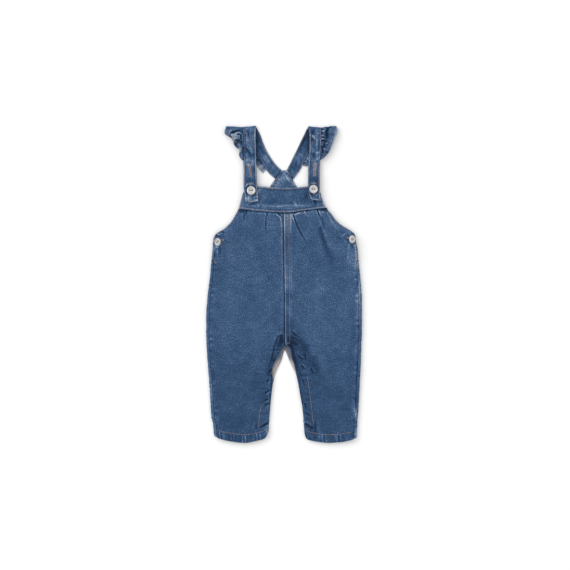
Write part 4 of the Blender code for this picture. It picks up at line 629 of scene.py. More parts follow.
        (84, 256, 3.6, 3, 0, 0.05), (64.6, 253, 1.6, 1, 0, 0.3), (84, 252.6, 3, 2, 0, 0.3),
        (71.6, 250, 12, 3.4, 1.6, -0.5), (85.4, 248, 12, 1.8, 1.35, 0.4),
        (80.6, 246.6, 2, 1.6, 0, -0.25), (62.4, 245, 1.4, 1.2, 0, 0.35),
        (71.4, 244, 10, 3.4, 1.5, -0.5), (76, 244, 6, 3, 1.4, 0.12), (66.4, 241, 14, 3, 1.57, -0.35),
        (62.4, 240.6, 1.4, 1.2, 0, 0.35), (67, 240, 2, 2.4, 0, 0.35), (83, 240, 14, 2.4, 1.25, 0.35),
        (73.6, 239.6, 2.6, 2, 0, 0.3), (66, 238, 8, 2, 1.57, -0.15), (60.6, 236.4, 3, 3, 0, -0.2),
        (67.6, 236, 6, 2.6, 1.57, -0.5), (75, 236, 5, 2.4, 1.4, 0.2), (76, 236, 5, 1.4, 1.3, 0.25),
        (68.6, 234, 3, 1.4, 0.1, -0.6), (80.4, 232, 9, 1.8, 1.2, 0.4), (66, 229, 2.4, 6, 1.57, -0.3),
        (74, 227, 3, 4, 0, -0.2), (67, 226.4, 3, 1.6, 1.57, -0.4), (64.6, 222, 7, 2, 1.57, -0.5),
        (71, 219, 4, 2.2, 0.9, -0.35), (65, 218, 8, 2.4, 1.7, -0.35), (75, 217, 7, 2, 0.8, 0.2),
        (66.8, 216, 3, 3, 0, -0.35), (35.6, 210.6, 5, 3, 1.2, 0.3),
    ],
)


def wash_and_shade(rows, x, y):
    """How much paler each point is from a table of ovals: wear from the wash, and darker where an oval is
    painted shade.
    """
    total = np.zeros_like(x)
    for centre_x, centre_y, long, wide, turn, lift in zip(*rows.values()):
        along = (x - centre_x) * np.cos(turn) + (y - centre_y) * np.sin(turn)
        beside = (y - centre_y) * np.cos(turn) - (x - centre_x) * np.sin(turn)
        total += lift * np.exp(-((along / long) ** 2) - (beside / wide) ** 2)
    return total


def creased(rows, x, y):
    """The height that a table of creases adds at each point."""
    total = np.zeros_like(x)
    for start_x, start_y, end_x, end_y, bow, width, depth, lip in zip(*rows.values()):
        run = np.hypot(end_x - start_x, end_y - start_y)
        dir_x, dir_y = (end_x - start_x) / run, (end_y - start_y) / run
        along = ((x - start_x) * dir_x + (y - start_y) * dir_y) / run
        inside = np.clip(along, 0.0, 1.0)
        across = (y - start_y) * dir_x - (x - start_x) * dir_y
        across = across - bow * 4 * inside * (1 - inside)
        fade = ease(1 + along * run / (1.2 * width)) * ease((1 - along) / 0.55)
        beside = bell(across - np.sign(lip) * 1.8 * width, 1.1 * width)
        total += fade * (abs(lip) * beside - depth * bell(across, width))
    return total


# Slow unevenness of cloth that lies on cloth: wave length, direction, height and phase
LIE = table(
    "length turn height phase",
    (96, 0.4, 0.22, 0.3), (71, 1.9, 0.20, 2.1), (54, 1.1, 0.16, 4.4), (43, 2.7, 0.13, 5.2),
    (31, 0.1, 0.09, 1.2), (23, 1.5, 0.07, 3.3), (17, 2.3, 0.05, 0.9),
)


def lie(x, y):
    """The height of that unevenness at each point."""
    total = np.zeros_like(x)
    for length, turn, tall, phase in zip(*LIE.values()):
        along = x * np.cos(turn) + y * np.sin(turn)
        beside = y * np.cos(turn) - x * np.sin(turn)
        bent = along + 0.12 * length * np.sin(beside / length * 2.6 + phase)
        total += tall * np.sin(2 * np.pi * bent / length + phase)
    return total


def sum_of(start, *parts):
    """The start plus each mask times its strength."""
    for strength, mask in parts:
        start = start + strength * mask
    return start


def puckers(along, period, seed, away, width):
    """Uneven puckers along a seam, deepest where "away" is 0."""
    return uneven(along, period, seed) * bell(away, width)


# ---------------------------------------------------------------- the sewn pieces
# Each piece is a function from shares of its width and length to its place (x, y, z), its grain
# (two places on the cloth as cut), its lift (how much paler it is) and its relief (fine height).
FOLD_SHARE = 0.2  # of a back's width, for the part that turns over the side fold
PEAK_TOP = 1.6  # height of the peak's face
STRAP_FRONT, STRAP_FOLD = 0.45, 0.10  # shares of a strap's grid before and in its fold
STRAP_LENGTH = 124.0  # of one half
RING = {"left": (-55.4, 158.6), "right": (48.8, 158.6)}  # middle of the ridge round a strap button
BUTTON_SHADE = {"left": (-54.0, 155.0), "right": (48.6, 157.2)}  # middle of the painted shade round a strap button
FRILL_FRONT, FRILL_FOLD = 0.50, 0.08  # shares of a frill's grid before and in its fold
FRILL_SEAM_GAP = 0.08
GATHERED = 1.5  # length of cloth in a frill for each length of its seam
FRILL_SEAM_TOP, FRILL_HEM_RISE = 5.0, 2.0  # height at the seam, and how far the hem stands over it
FRILL_BACK_WAVE, FRILL_BOW = 1.2, 0.15
CALM_FRONT, CALM_BACK = (0.08, 0.12), (0.1, 0.06)  # shares at the ends where gathers fade out
GATHER_COLUMNS = ("front", "back", "seam", "hem", "lean", "fine", "crown")
GATHERS = {
    "left": dict(zip(GATHER_COLUMNS, (5.5, 6.0, 0.3, 1.5, 0.8, 17.0, 0.4))),
    "right": dict(zip(GATHER_COLUMNS, (7.5, 6.0, 0.3, 0.8, 0.8, 19.0, 1.2))),
}


def front_height(side, y, from_side, from_inner):
    """A roll at the side, level across the body, and down to the inside of the leg."""
    reach, edge, full = (read(ROLL, column, y) for column in ("reach", "edge", "height"))
    inside = np.clip(1 - from_side / reach, 0.0, 1.0)
    roll = edge + (full - edge) * np.sqrt(1 - inside**2)
    level = mix(roll, BODY_TOP, ease((from_side - reach) / BODY_FALL))
    leg = ease((CROTCH - y) / CROTCH_START)
    return mix(level, mix(INSEAM_TOP, level, ease(from_inner / INSEAM_RISE)), leg)


def front(side):
    """From the side seam to the centre seam or inseam, and from the bib's seam to the hem."""
    hem, turn, left = HEMS[side], TURN[side], side == "left"

    def place(across, down):
        top_x = mix(read(OUTLINE, side, SIDE_TOP), read(FRONT_INNER, side, CENTRE_TOP), across)
        hem_start = read(OUTLINE, side, HEM_CORNER) - turn * read(ROLL, "seam", HEM_CORNER)
        hem_x = mix(hem_start, read(FRONT_INNER, side, HEM_CORNER), across)
        y = mix(read(BIB_SEAM, "y", top_x), read(hem, "y", hem_x), down)
        outer = read(OUTLINE, side, y)
        start = outer - turn * (read(ROLL, "seam", y) + SEAM_GAP / 2)
        inner = read(FRONT_INNER, side, y) + turn * SEAM_GAP / 2
        x = mix(start, inner, across)
        from_side, from_seam, from_inner = (np.abs(x - edge) for edge in (outer, start, inner))
        from_hem = y - read(hem, "y", x)
        from_top = read(BIB_SEAM, "y", x) - y
        opening = ease((y - OPENING_END) / BAND_STEP)
        body = ease((y - FELL_END) / BAND_STEP)
        closed, leg = 1 - opening, 1 - body

        in_hem = raised(from_hem, HEM_BAND)
        band = np.maximum(in_hem, raised(from_seam, SIDE_BAND) * closed)
        if not left:
            band = np.maximum(band, raised(from_inner, FELL_BAND) * body)
        rope = uneven(x + 0.12 * from_hem, 8.8 if left else 11.4, 2.0 + turn)
        roping = np.tanh(1.8 * rope) * in_hem
        side_pucker = puckers(y, 17, 3 + turn, from_seam - 2, 3.4) * closed
        gathers = np.maximum(0, uneven(x, 6.3, 1)) ** 1.5 * (1 - ease(from_top / 9))
        relief = sum_of(
            creased(CREASES["front_" + side], x, y),
            (-0.4, gathers),
            (-0.6, 1 - ease(from_top / 3.4)),
            (0.24, roping),
            (0.16, puckers(x, 7.5, 0.5, from_hem - HEM_BAND - 2, 5)),
            (0.2, side_pucker),
            (0.22, puckers(y, 15, 1.4 + turn, from_inner - 12, 8) * leg),
            (0.14, puckers(y, 8, 0.4, from_inner - 1, 3) * leg),
            (0.12, puckers(y, 8.5, turn, from_side - 3.5, 3) * opening),
            (-0.7 * left, (1 - ease(from_inner / 3)) * body),
        )
        z = front_height(side, y, from_side, from_inner) + SEAM_RISE * band
        z = z + lie(x, y) * ease(from_inner / 14) * ease(from_hem / 12) + relief
        z = z + rolled(from_seam, 1.2, 0.7) + rolled(from_inner, 1.2, 0.7)
        z = z + rolled(from_hem, 1.8, 1.0)

        lift = sum_of(
            wash_and_shade(WASH_AND_SHADE["front_" + side], x, y),
            (0.22, side_pucker),
            (0.1, bell(from_seam - 4.6, 1.2) * closed),
            (0.2, bell(from_side - 1, 1.4) * opening),
            (0.16, roping),
            (-0.05, in_hem),
            (0.15, bell(from_hem - 0.8, 1.2)),
            # painted shade: a dark line just under the bib's seam, where the bib stands over the front
            (-0.5, bell(from_top - 1, 1.3)),
            (-0.22, ease((-70 - y) / 110)),
            # higher cloth a little paler and hollows a little darker: wear, and painted crease shade
            (0.05, relief),
        )
        if left:
            lift = sum_of(
                lift,
                (-0.2, bell(from_side, 2.4)),
                (-0.1, bell(from_inner, 4) * leg * ease((y + 200) / 20)),
            )
        else:  # the felled seam lies on this side, palest above the knees
            upper = ease((y + 22) / 14)
            streaks = uneven(x, 5.6, 2.4) * raised(from_inner, FELL_BAND - 1)
            lift = sum_of(
                lift,
                (0.3 + 0.3 * upper, bell(from_inner - 1, 1) * body),
                (0.35, bell(from_inner - 11.4, 1.3) * body * upper),
                (0.12, raised(from_inner, FELL_BAND) * upper),
                (0.2, streaks * upper),
                # painted shade down the inside of the right leg, where the cloth dips along the inner
                # edge
                (-0.3, bell(from_inner - 1, 6) * leg),
                (-0.12, bell(from_inner - 12, 8) * leg),
                (-0.15, bell(from_side, 1.6) * opening),
                (0.25, bell(from_side - 2.5, 3) * closed),
            )
        return x, y, z, x, y, lift, relief

    return place


def back(side):
    """The first part of the way across turns over the side fold, and the rest lies flat."""
    hem, turn = HEMS[side], TURN[side]

    def place(across, down):
        folded = np.clip(across / FOLD_SHARE, 0, 1)
        flat = np.clip((across - FOLD_SHARE) / (1 - FOLD_SHARE), 0, 1)
        lies = flat > 0
        hem_outer = read(OUTLINE, side, HEM_CORNER)
        hem_reach = turn * read(ROLL, "reach", HEM_CORNER)
        hem_x = np.where(
            lies,
            mix(hem_outer - hem_reach, read(BACK_INNER, side, HEM_CORNER), flat),
            hem_outer - hem_reach * np.abs(2 * folded - 1),
        )
        y = mix(BACK_TOP, read(hem, "y", hem_x) + BACK_HEM_SHORT, down)
        outer = read(OUTLINE, side, y)
        reach = read(ROLL, "reach", y)
        seam = np.maximum(read(ROLL, "seam", y) - SIDE_SEAM_GAP, 0.0)
        top_angle = np.pi - np.arcsin(1 - np.minimum(seam / reach, 1))
        top_angle = top_angle - np.radians(read(ROLL, "short", y))
        angle = mix(top_angle, 0.0, folded)
        fold_x = outer - turn * reach * (1 - np.sin(angle))
        fold_z = read(ROLL, "edge", y) * (1 - np.cos(angle))
        armhole = read(BACK_ARMHOLE, side, y)
        turned_over = ease((SIDE_FOLD_TOP - y) / SIDE_FOLD_START)
        fold_x = mix(armhole - turn * LOOSE_EDGE * folded, fold_x, turned_over)
        inner = read(BACK_INNER, side, y) + turn * BACK_SEAM_GAP / 2
        start_x = mix(armhole - turn * LOOSE_EDGE, outer - turn * reach, turned_over)
        x = np.where(lies, mix(start_x, inner, flat), fold_x)
        pucker = uneven(y, 12, 1 + turn) * np.sin(np.pi * folded) * turned_over
        x = x - turn * 0.3 * np.maximum(pucker, -0.4)

        from_hem = y - read(hem, "y", x) - BACK_HEM_SHORT
        from_inner = np.abs(x - inner)
        in_hem = raised(from_hem, HEM_BAND)
        fell = raised(from_inner, FELL_BAND) * ease((y - FELL_END) / BAND_STEP)
        band = np.maximum(in_hem, fell * (side == "right"))
        roping = np.tanh(1.8 * uneven(x + 0.12 * from_hem, 9.6, 4 + turn)) * in_hem
        seam_pucker = puckers(y, 11, 2 + turn, from_inner - FELL_BAND - 1.5, 4)
        under = sum_of(
            creased(CREASES["back_" + side], x, y),
            (0.18, roping),
            (0.16, seam_pucker),
            (BACK_BAND, band - 1),
            (-0.12, ease(flat / 0.04) * (1 + lie(x, y))),
        )
        z = np.where(lies, np.maximum(-under, 0) * ease(flat / 0.06), fold_z * turned_over)
        z = z + np.where(lies, 0.0, 0.18 * pucker)
        relief = np.where(lies, under * ease(flat / 0.06), 0.18 * pucker)
        grain_x = np.where(lies, x, outer - turn * reach + turn * (1 - folded) * 14)
        lift = sum_of(
            wash_and_shade(WASH_AND_SHADE["back_" + side], x, y) * lies,
            (0.3, bell(from_hem, 2)),
            (0.25, pucker),
            (0.2, bell(from_inner, 2)),
            (0.2, roping),
            (0.2, seam_pucker * lies),
            (0.3, bell(from_inner - FELL_BAND - 0.6, 1.2) * (y > CROTCH) * lies),
            (1.0, wash_and_shade(WASH_AND_SHADE["front_" + side], x, y) * ~lies),
        )
        return x, y, z, grain_x, y, lift, relief

    return place


def bib(across, down):
    """From its top edge down to its seam with the fronts."""
    left, right = (read(BIB_SIDES, side, down) for side in SIDES)
    x = mix(left, right, across)
    top, seam = read(BIB_TOP, "y", x), read(BIB_SEAM, "y", x)
    y = mix(top, seam, down)
    from_top, from_seam = top - y, y - seam
    from_side = np.minimum(np.abs(x - left), np.abs(x - right))
    relief = sum_of(
        creased(CREASES["bib"], x, y),
        (0.35, bell(from_seam - 1.2, 1.4)),
        (-0.25, bell(from_seam - 4, 1.4)),
        (0.3, bell(from_top - 0.8, 1.1)),
        (-0.2, bell(from_top - 3.2, 1.2)),
        (0.12, puckers(x, 7, 0.6, from_seam - 3, 4)),
        (0.12, puckers(x, 8, 1.6, from_top - 3, 4)),
    )
    z = mix(BIB_AT_TOP, BIB_AT_SEAM, down) + 0.5 * lie(x, y) * ease(from_seam / 8) + relief
    z = z + rolled(from_top, 1.3, 0.8) + rolled(from_seam, 1.1, 0.6) + rolled(from_side, 1.2, 0.7)
    lift = sum_of(
        wash_and_shade(WASH_AND_SHADE["bib"], x, y),
        (0.35 * bell(from_seam - 0.9, 1), 0.7 + 0.3 * uneven(x, 12, 1)),
        (0.6, bell(from_top - 0.6, 0.9)),
        (0.25, bell(from_side - 0.7, 1)),
        # painted shade: a dark line under the stitched rim of the top edge
        (-0.35, bell(from_top - 3, 1.3)),
    )
    return x, y, z, x, y, lift, relief


def peak(across, down):
    """The back's peak, from its point between the straps down to its wide end."""
    y = mix(PEAK["y"][-1], PEAK["y"][0], down)
    left, right = (read(PEAK, side, y) for side in SIDES)
    x = mix(left, right, across)
    from_edge = np.minimum(x - left, right - x) * 0.78
    relief = sum_of(
        creased(CREASES["back_peak"], x, y),
        (0.3, bell(from_edge - 1.2, 1.3)),
        (-0.25, bell(from_edge - 3.4, 1.2)),
    )
    z = PEAK_TOP + relief + rolled(from_edge, 1.1, 0.6)
    lift = sum_of(
        wash_and_shade(WASH_AND_SHADE["back_peak"], x, y),
        (0.05, bell(from_edge - 0.8, 0.9)),
        (0.1, uneven(x + y, 12, 1)),
        (-0.25, bell(from_edge - 2.8, 1.1)),
    )
    return x, y, z, x, y, lift, relief


def strap_edge(side, edge, run):
    """Places along the outer or inner edge of a strap."""
    return read(STRAPS[side], edge + "_x", run), read(STRAPS[side], edge + "_y", run)


def fold_turn(share, front_share, fold_share):
    """The angle round the shoulder fold: 0 before it and pi past it."""
    return np.clip((share - front_share) / fold_share, 0, 1) * np.pi


def strap(side):
    """From the end on the bib (run 0) over the shoulder fold (run 1) to the peak (run 2)."""

    def place(across, down):
        turn = fold_turn(down, STRAP_FRONT, STRAP_FOLD)
        past = (down - STRAP_FRONT - STRAP_FOLD) / (1 - STRAP_FRONT - STRAP_FOLD)
        run = np.where(past <= 0, np.minimum(down / STRAP_FRONT, 1), 1 + past)
        length = run * STRAP_LENGTH
        before, behind = run < 1, run > 1
        (outer_x, outer_y), (inner_x, inner_y) = (
            strap_edge(side, edge, run) for edge in ("outer", "inner")
        )
        width = np.hypot(outer_x - inner_x, outer_y - inner_y)
        x = mix(outer_x, inner_x, across)
        y = mix(outer_y, inner_y, across)
        from_edge = width * np.minimum(across, 1 - across)
        from_inner = width * (1 - across)
        ends = np.minimum(run, 2 - run) * STRAP_LENGTH
        ring_x, ring_y = RING[side]
        button_x, button_y = BUTTON_SHADE[side]
        ring = bell(np.abs(np.hypot(x - ring_x, y - ring_y) - 8), 1)
        by_frill = (from_inner > 8) & (run > 0.5) & before
        relief = sum_of(
            creased(CREASES["strap_" + side], x, y),
            (0.25, bell(from_edge - 1, 1.2) * np.where(by_frill, 0.15, 1.0)),
            (-0.12, bell(from_edge - 3.2, 1.2)),
            (0.1, puckers(length, 8, 1, from_edge - 2, 2)),
            (1.0, rolled(from_edge, 1.0, 0.6)),
            (0.8, ring * ease((y - ring_y) / 4) * ease(1 - run)),
            (1.0, rolled(ends, 1.4, 0.7) * before),
        )
        top = read(STRAPS[side], "under", np.minimum(run, 1)) + STRAP_WALL
        y = y + SHOULDER_FOLD / 2 * np.sin(turn)
        z = mix(0.0, top, (1 + np.cos(turn)) / 2) + relief * np.maximum(np.cos(turn), 0)
        z = np.where(behind, 0.0, z)
        # The back half of a strap is painted darker beside the front strap's inner edge, as shade from
        # the front strap.
        shaded = strap_edge(side, "inner", 0.6)[0] - TURN[side]
        rim = bell(from_edge - 0.7, 0.8) * (0.5 + 0.5 * uneven(length, 19, 2))
        ridge = bell(from_inner - 1.1, 1) * ease((y - 158) / 12) * before
        lift = sum_of(
            wash_and_shade(WASH_AND_SHADE["strap_" + side], x, y) * (1 + 0.2 * np.sign(1 - run)),
            (0.06, rim),
            (0.6 if side == "left" else 0.3, ridge),
            (-0.15, bell(from_edge - 2.8, 1)),
            (0.25, bell(ends - 0.8, 1) * before),
            (-0.65, bell(x - shaded, 4) * behind),
            # painted shade where the strap's end runs under the peak
            (-0.7, bell((2 - run) * STRAP_LENGTH, 2.6) * behind),
            # painted shade: a dark ring on the strap round its button
            (-0.8, bell(np.hypot(x - button_x, y - button_y) - 8.2, 1) * before),
        )
        return x, y, z, across * width, length, lift, relief

    return place


def calm(along, shares):
    """0 at both ends of a seam and 1 between them, where its gathers are full."""
    return ease(along / shares[0]) * ease((1 - along) / shares[1])


def frill(side):
    """Out from the strap's outer edge to the frill's free edge, over the same shoulder fold."""
    rows, waves = FRILLS[side], GATHERS[side]
    first, last = rows["run"][0], rows["run"][-1]

    def place(across, down):
        turn = fold_turn(down, FRILL_FRONT, FRILL_FOLD)
        before = np.clip(down / FRILL_FRONT, 0, 1)
        after = np.clip((down - FRILL_FRONT - FRILL_FOLD) / (1 - FRILL_FRONT - FRILL_FOLD), 0, 1)
        behind = after > 0
        run = mix(first, 1.0, before) + after * (last - 1)
        seam_x, seam_y = strap_edge(side, "outer", run)
        seam_x = seam_x + TURN[side] * FRILL_SEAM_GAP
        free_x, free_y = read(rows, "free_x", run), read(rows, "free_y", run)
        width = np.hypot(free_x - seam_x, free_y - seam_y)
        x = mix(seam_x, free_x, across)
        y = mix(seam_y, free_y, across * (1 - FRILL_BOW * np.sin(np.pi * across)))
        from_seam, from_hem = width * across, width * (1 - across)
        quiet = calm(before, CALM_FRONT)
        depth = mix(waves["seam"], waves["hem"], across) * quiet
        wave = np.sin(2 * np.pi * waves["front"] * before + waves["lean"] * across)
        fine = quiet * uneven(before, 1 / waves["fine"], 1) * (1 - ease(across / 0.5))
        placed = creased(CREASES["frill_" + side], x, y)
        front_z = sum_of(
            FRILL_SEAM_TOP + placed + rolled(from_hem, 1.0, 0.6),
            (FRILL_HEM_RISE, across),
            (depth, wave),
            (0.3, fine),
            (0.3, bell(from_hem - 1.2, 1.4)),
            (-0.3, bell(from_hem - 4, 1.3)),
        )
        back_wave = np.sin(np.pi * waves["back"] * after + waves["lean"] * across) ** 2
        back_z = FRILL_BACK_WAVE * calm(after, CALM_BACK) * back_wave
        back_fine = uneven(after, 1 / waves["fine"], 3) * (1 - 0.6 * across)
        crown = waves["crown"] * np.sin(np.pi * across) * bell((1 - run) * STRAP_LENGTH, 7)
        y = y + front_z / 2 * np.sin(turn) + crown * ~behind
        z = np.where(behind, back_z, front_z / 2 * (1 + np.cos(turn)))
        # The back part shows between the straps: on the left it is painted dark as shade above y 205, and
        # paler below.
        if side == "left":
            shown = mix(-0.5, 0.6, ease((205 - y) / 10))
        else:
            shown = 0.1 + 0.75 * bell(x - 37, 6) * ease((y - 199) / 8)
        lift = sum_of(
            wash_and_shade(WASH_AND_SHADE["frill_" + side], x, y) * ~behind,
            (0.3, bell(from_hem - 0.8, 1)),
            (-0.4, bell(from_seam, 1.6)),
            (0.12, bell(from_hem - 2.6, 2.2)),
            (behind, 0.7 * back_fine + shown + 0.3 * uneven(x - y, 5.2, 1)),
        )
        relief = np.where(behind, 0.25 * back_fine, placed + 0.3 * fine)
        return x, y, z, run * STRAP_LENGTH * GATHERED, from_seam, lift, relief

    return place


# ---------------------------------------------------------------- shader nodes
def plug(tree, node, inputs):
    """Sets a node's inputs, each a plain value or a socket to link."""
    for socket, value in inputs.items():
        if isinstance(value, bpy.types.NodeSocket):
            tree.links.new(value, node.inputs[socket])
        else:
            node.inputs[socket].default_value = value


def add(tree, kind, inputs=None, **settings):
    """A shader node with its settings and inputs."""
    node = tree.nodes.new(kind)
    for key, value in settings.items():
        setattr(node, key, value)
    plug(tree, node, inputs or {})
    return node


def math(tree, operation, a, b):
    return add(tree, "ShaderNodeMath", {0: a, 1: b}, operation=operation).outputs[0]


def noise(tree, place, scale, detail=2.0, roughness=0.5):
    inputs = {"Vector": place, "Scale": scale, "Detail": detail, "Roughness": roughness}
    return add(tree, "ShaderNodeTexNoise", inputs).outputs["Fac"]


def bump(tree, height, strength, distance):
    inputs = {"Height": height, "Strength": strength, "Distance": distance}
    return add(tree, "ShaderNodeBump", inputs).outputs[0]


def ramp(tree, value, *stops):
    """The value turned into a colour. The first two stops are the ramp's two ends."""
    node = add(tree, "ShaderNodeValToRGB", {"Fac": value})
    elements = node.color_ramp.elements
    for index, (position, colour) in enumerate(stops):
        element = elements[index] if index < 2 else elements.new(position)
        element.position = position
        element.color = (*colour, 1)
    return node.outputs["Color"]


def group(name, inputs, outputs):
    """An empty node group with its sockets, and its input and output nodes."""
    tree = bpy.data.node_groups.new(name, "ShaderNodeTree")
    for label, kind, value in inputs:
        socket = tree.interface.new_socket(label, in_out="INPUT", socket_type=kind)
        if value is not None:
            socket.default_value = value
    for label, kind in outputs:
        tree.interface.new_socket(label, in_out="OUTPUT", socket_type=kind)
    return tree, tree.nodes.new("NodeGroupInput").outputs, tree.nodes.new("NodeGroupOutput")


# Indigo of the darkest recesses, unwashed and with shade painted in, and of the palest high places, then
# the tones between them
INDIGO = (
    (0.0, (0.005, 0.015, 0.038)),
    (1.0, (0.330, 0.390, 0.460)),
    (0.34, (0.0225, 0.056, 0.124)),
    (0.50, (0.0365, 0.081, 0.167)),
    (0.66, (0.062, 0.120, 0.226)),
    (0.84, (0.150, 0.215, 0.325)),
)
GAP_SHADOW_GREY = (0.54, 0.515, 0.505, 1.0)  # painted shadow: a pale grey laid on the crotch facings for the soft shadow in the gap between the legs
TWILL = 0.00085  # spacing of the diagonal ribs, in metres


def denim_group():
    """Washed twill: "Place" is the cloth's own place in metres, and the next input how far the cloth has
    paled with wear, darkened below 0 by painted shade.
    """
    levels = (("Wear_and_shade", 0.0), ("Tone", 0.5), ("Heather", 1.0), ("Patches", 1.0))
    tree, given, out = group(
        "washed denim",
        [("Place", "NodeSocketVector", None)]
        + [(name, "NodeSocketFloat", level) for name, level in levels],
        [("Color", "NodeSocketColor"), ("Height", "NodeSocketFloat"), ("Roughness", "NodeSocketFloat")],
    )
    place = given["Place"]
    drawn, slub, ribs = (
        add(tree, "ShaderNodeMapping", {"Vector": place, socket: value}).outputs[0]
        for socket, value in (
            ("Scale", (1.0, 0.8, 1.0)),
            ("Scale", (1.0, 0.12, 1.0)),
            ("Rotation", (0, 0, np.radians(27))),
        )
    )
    waves = {"Vector": ribs, "Scale": 0.314 / TWILL, "Distortion": 1.2, "Detail": 1.0}
    twill = add(tree, "ShaderNodeTexWave", waves, bands_direction="X").outputs["Fac"]
    heather = noise(tree, drawn, 560.0, 2.0, 0.65)
    yarn = noise(tree, slub, 1500.0, 1.0)
    blotches = noise(tree, place, 95.0, 2.0, 0.6)
    patches = noise(tree, place, 26.0, 3.0, 0.6)

    tone = math(tree, "ADD", math(tree, "MULTIPLY", given["Wear_and_shade"], 0.5), given["Tone"])
    for mask, strength, socket in (
        (heather, 1.25, "Heather"),
        (yarn, 0.22, None),
        (twill, 0.10, None),
        (blotches, 0.30, "Patches"),
        (patches, 0.42, "Patches"),
    ):
        scaled = math(tree, "MULTIPLY", math(tree, "SUBTRACT", mask, 0.5), strength)
        if socket:
            scaled = math(tree, "MULTIPLY", scaled, given[socket])
        tone = math(tree, "ADD", tone, scaled)
    tree.links.new(ramp(tree, tone, *INDIGO), out.inputs["Color"])
    height = math(tree, "MULTIPLY", math(tree, "ADD", twill, yarn), 0.5)
    height = math(tree, "ADD", height, math(tree, "MULTIPLY", heather, 0.5))
    tree.links.new(height, out.inputs["Height"])
    rough = math(tree, "ADD", math(tree, "MULTIPLY", tone, 0.12), 0.80)
    tree.links.new(rough, out.inputs["Roughness"])
    return tree


def new_material(name):
    """A material, its node tree and its shader."""
    material = bpy.data.materials.new(name)
    material.use_nodes = True
    return material, material.node_tree, material.node_tree.nodes["Principled BSDF"]


def denim(name, grouped, tone=0.5, heather=1.0, patches=1.0, wash=None):
    """A denim from the shared group. "wash" lays a paler weft over it, as on the cloth's wrong side, and
    a pale grey painted where the crotch facings show, for the shadow in the gap between the legs.
    """
    material, tree, shader = new_material(name)
    uv = add(tree, "ShaderNodeUVMap", uv_map="cloth").outputs[0]
    wear_and_shade = add(tree, "ShaderNodeAttribute", attribute_name="wear_and_shade").outputs["Fac"]
    cloth = add(
        tree,
        "ShaderNodeGroup",
        {"Place": uv, "Wear_and_shade": wear_and_shade, "Tone": tone, "Heather": heather, "Patches": patches},
        node_tree=grouped,
    ).outputs
    colour = cloth["Color"]
    if wash:
        weft = noise(tree, uv, 900.0, 2.0)
        cover = ramp(tree, weft, (0.30, (0.25,) * 3), (0.62, (0.95,) * 3))
        gap_shadow = add(tree, "ShaderNodeAttribute", attribute_name="gap_shadow").outputs["Fac"]
        # the second blend is painted shadow: pale grey on the crotch facings for the shade in the gap
        # between the legs
        for share, yarn in ((cover, (*wash, 1)), (gap_shadow, GAP_SHADOW_GREY)):
            blend = {"Factor": share, "A": colour, "B": yarn}
            colour = add(tree, "ShaderNodeMix", blend, data_type="RGBA").outputs["Result"]
    fine = bump(tree, cloth["Height"], 0.5, 0.0003)
    plug(tree, shader, {"Base Color": colour, "Roughness": cloth["Roughness"], "Normal": fine})
    plug(tree, shader, {"Specular IOR Level": 0.12, "Sheen Weight": 0.02, "Sheen Roughness": 0.6})
    return material


def thread_material():
    """Tan thread, uneven in tone and twisted."""
    material, tree, shader = new_material("thread")
    place = add(tree, "ShaderNodeTexCoord").outputs["Object"]
    tans = (0.3, (0.27, 0.145, 0.075)), (0.7, (0.50, 0.31, 0.175))
    colour = ramp(tree, noise(tree, place, 240.0), *tans)
    twist = bump(tree, noise(tree, place, 2600.0), 0.6, 0.0002)
    plug(tree, shader, {"Base Color": colour, "Normal": twist, "Roughness": 0.62, "Sheen Weight": 0.2})
    return material


# The darkest and the brightest clouds of the pearl, then the tones between them
PEARL_GREYS = (
    (0.30, (0.34, 0.34, 0.34)),
    (0.72, (0.66, 0.65, 0.64)),
    (0.46, (0.50, 0.49, 0.49)),
    (0.56, (0.47, 0.50, 0.53)),
)


def pearl_material(name, shade=1.0):
    """Pearly white with faint clouds, under a clear gloss; a shade under 1 darkens the colour, as painted
    shade.
    """
    material, tree, shader = new_material(name)
    place = add(tree, "ShaderNodeTexCoord").outputs["Object"]
    inputs = {"Vector": place, "Scale": 190.0, "Detail": 2.0, "Distortion": 2.2}
    clouds = add(tree, "ShaderNodeTexNoise", inputs).outputs["Fac"]
    stops = [(at, tuple(shade * part for part in grey)) for at, grey in PEARL_GREYS]
    rough = ramp(tree, clouds, (0.2, (0.16,) * 3), (0.8, (0.32,) * 3))
    plug(tree, shader, {"Base Color": ramp(tree, clouds, *stops), "Roughness": rough})
    plug(tree, shader, {"Coat Weight": 0.6, "Coat Roughness": 0.08, "IOR": 1.53})
    return material


def floor_material():
    """White paper without a gloss."""
    material, tree, shader = new_material("paper")
    place = add(tree, "ShaderNodeTexCoord").outputs["Object"]
    colour = ramp(tree, noise(tree, place, 3.0), (0.3, (0.90,) * 3), (0.7, (0.93,) * 3))
    plug(tree, shader, {"Base Color": colour, "Roughness": 0.9, "Specular IOR Level": 0.1})
    return material


# ---------------------------------------------------------------- shells of cloth
# The tables are moved so that the peak's low corner meets that of its solid
peak_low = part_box("back_peak")[0]
SHIFT = Vector((peak_low[0] / MM - PEAK["left"][0], peak_low[1] / MM - PEAK["y"][0], 0.0))


def smoothed(grid, passes):
    """The grid blurred along each axis by so many passes of a 1-2-1 filter."""
    for axis, times in enumerate(passes):
        for _ in range(times):
            start, end = grid.take([0], axis), grid.take([-1], axis)
            wide = np.concatenate([start, grid, end], axis)
            size = grid.shape[axis]
            before, after = wide.take(range(size), axis), wide.take(range(2, size + 2), axis)
            grid = (before + 2 * grid + after) / 4
    return grid


NEAR_SPREAD, FAR_SPREAD = 1.6, 4.5  # how far round a point its height is set against the cloth's
# Strength of that paling of ridges and darkening of hollows; the darkening is part unwashed indigo, part
# painted crease shade
NEAR_WEAR_AND_SHADE, FAR_WEAR_AND_SHADE = 1.3, 0.4


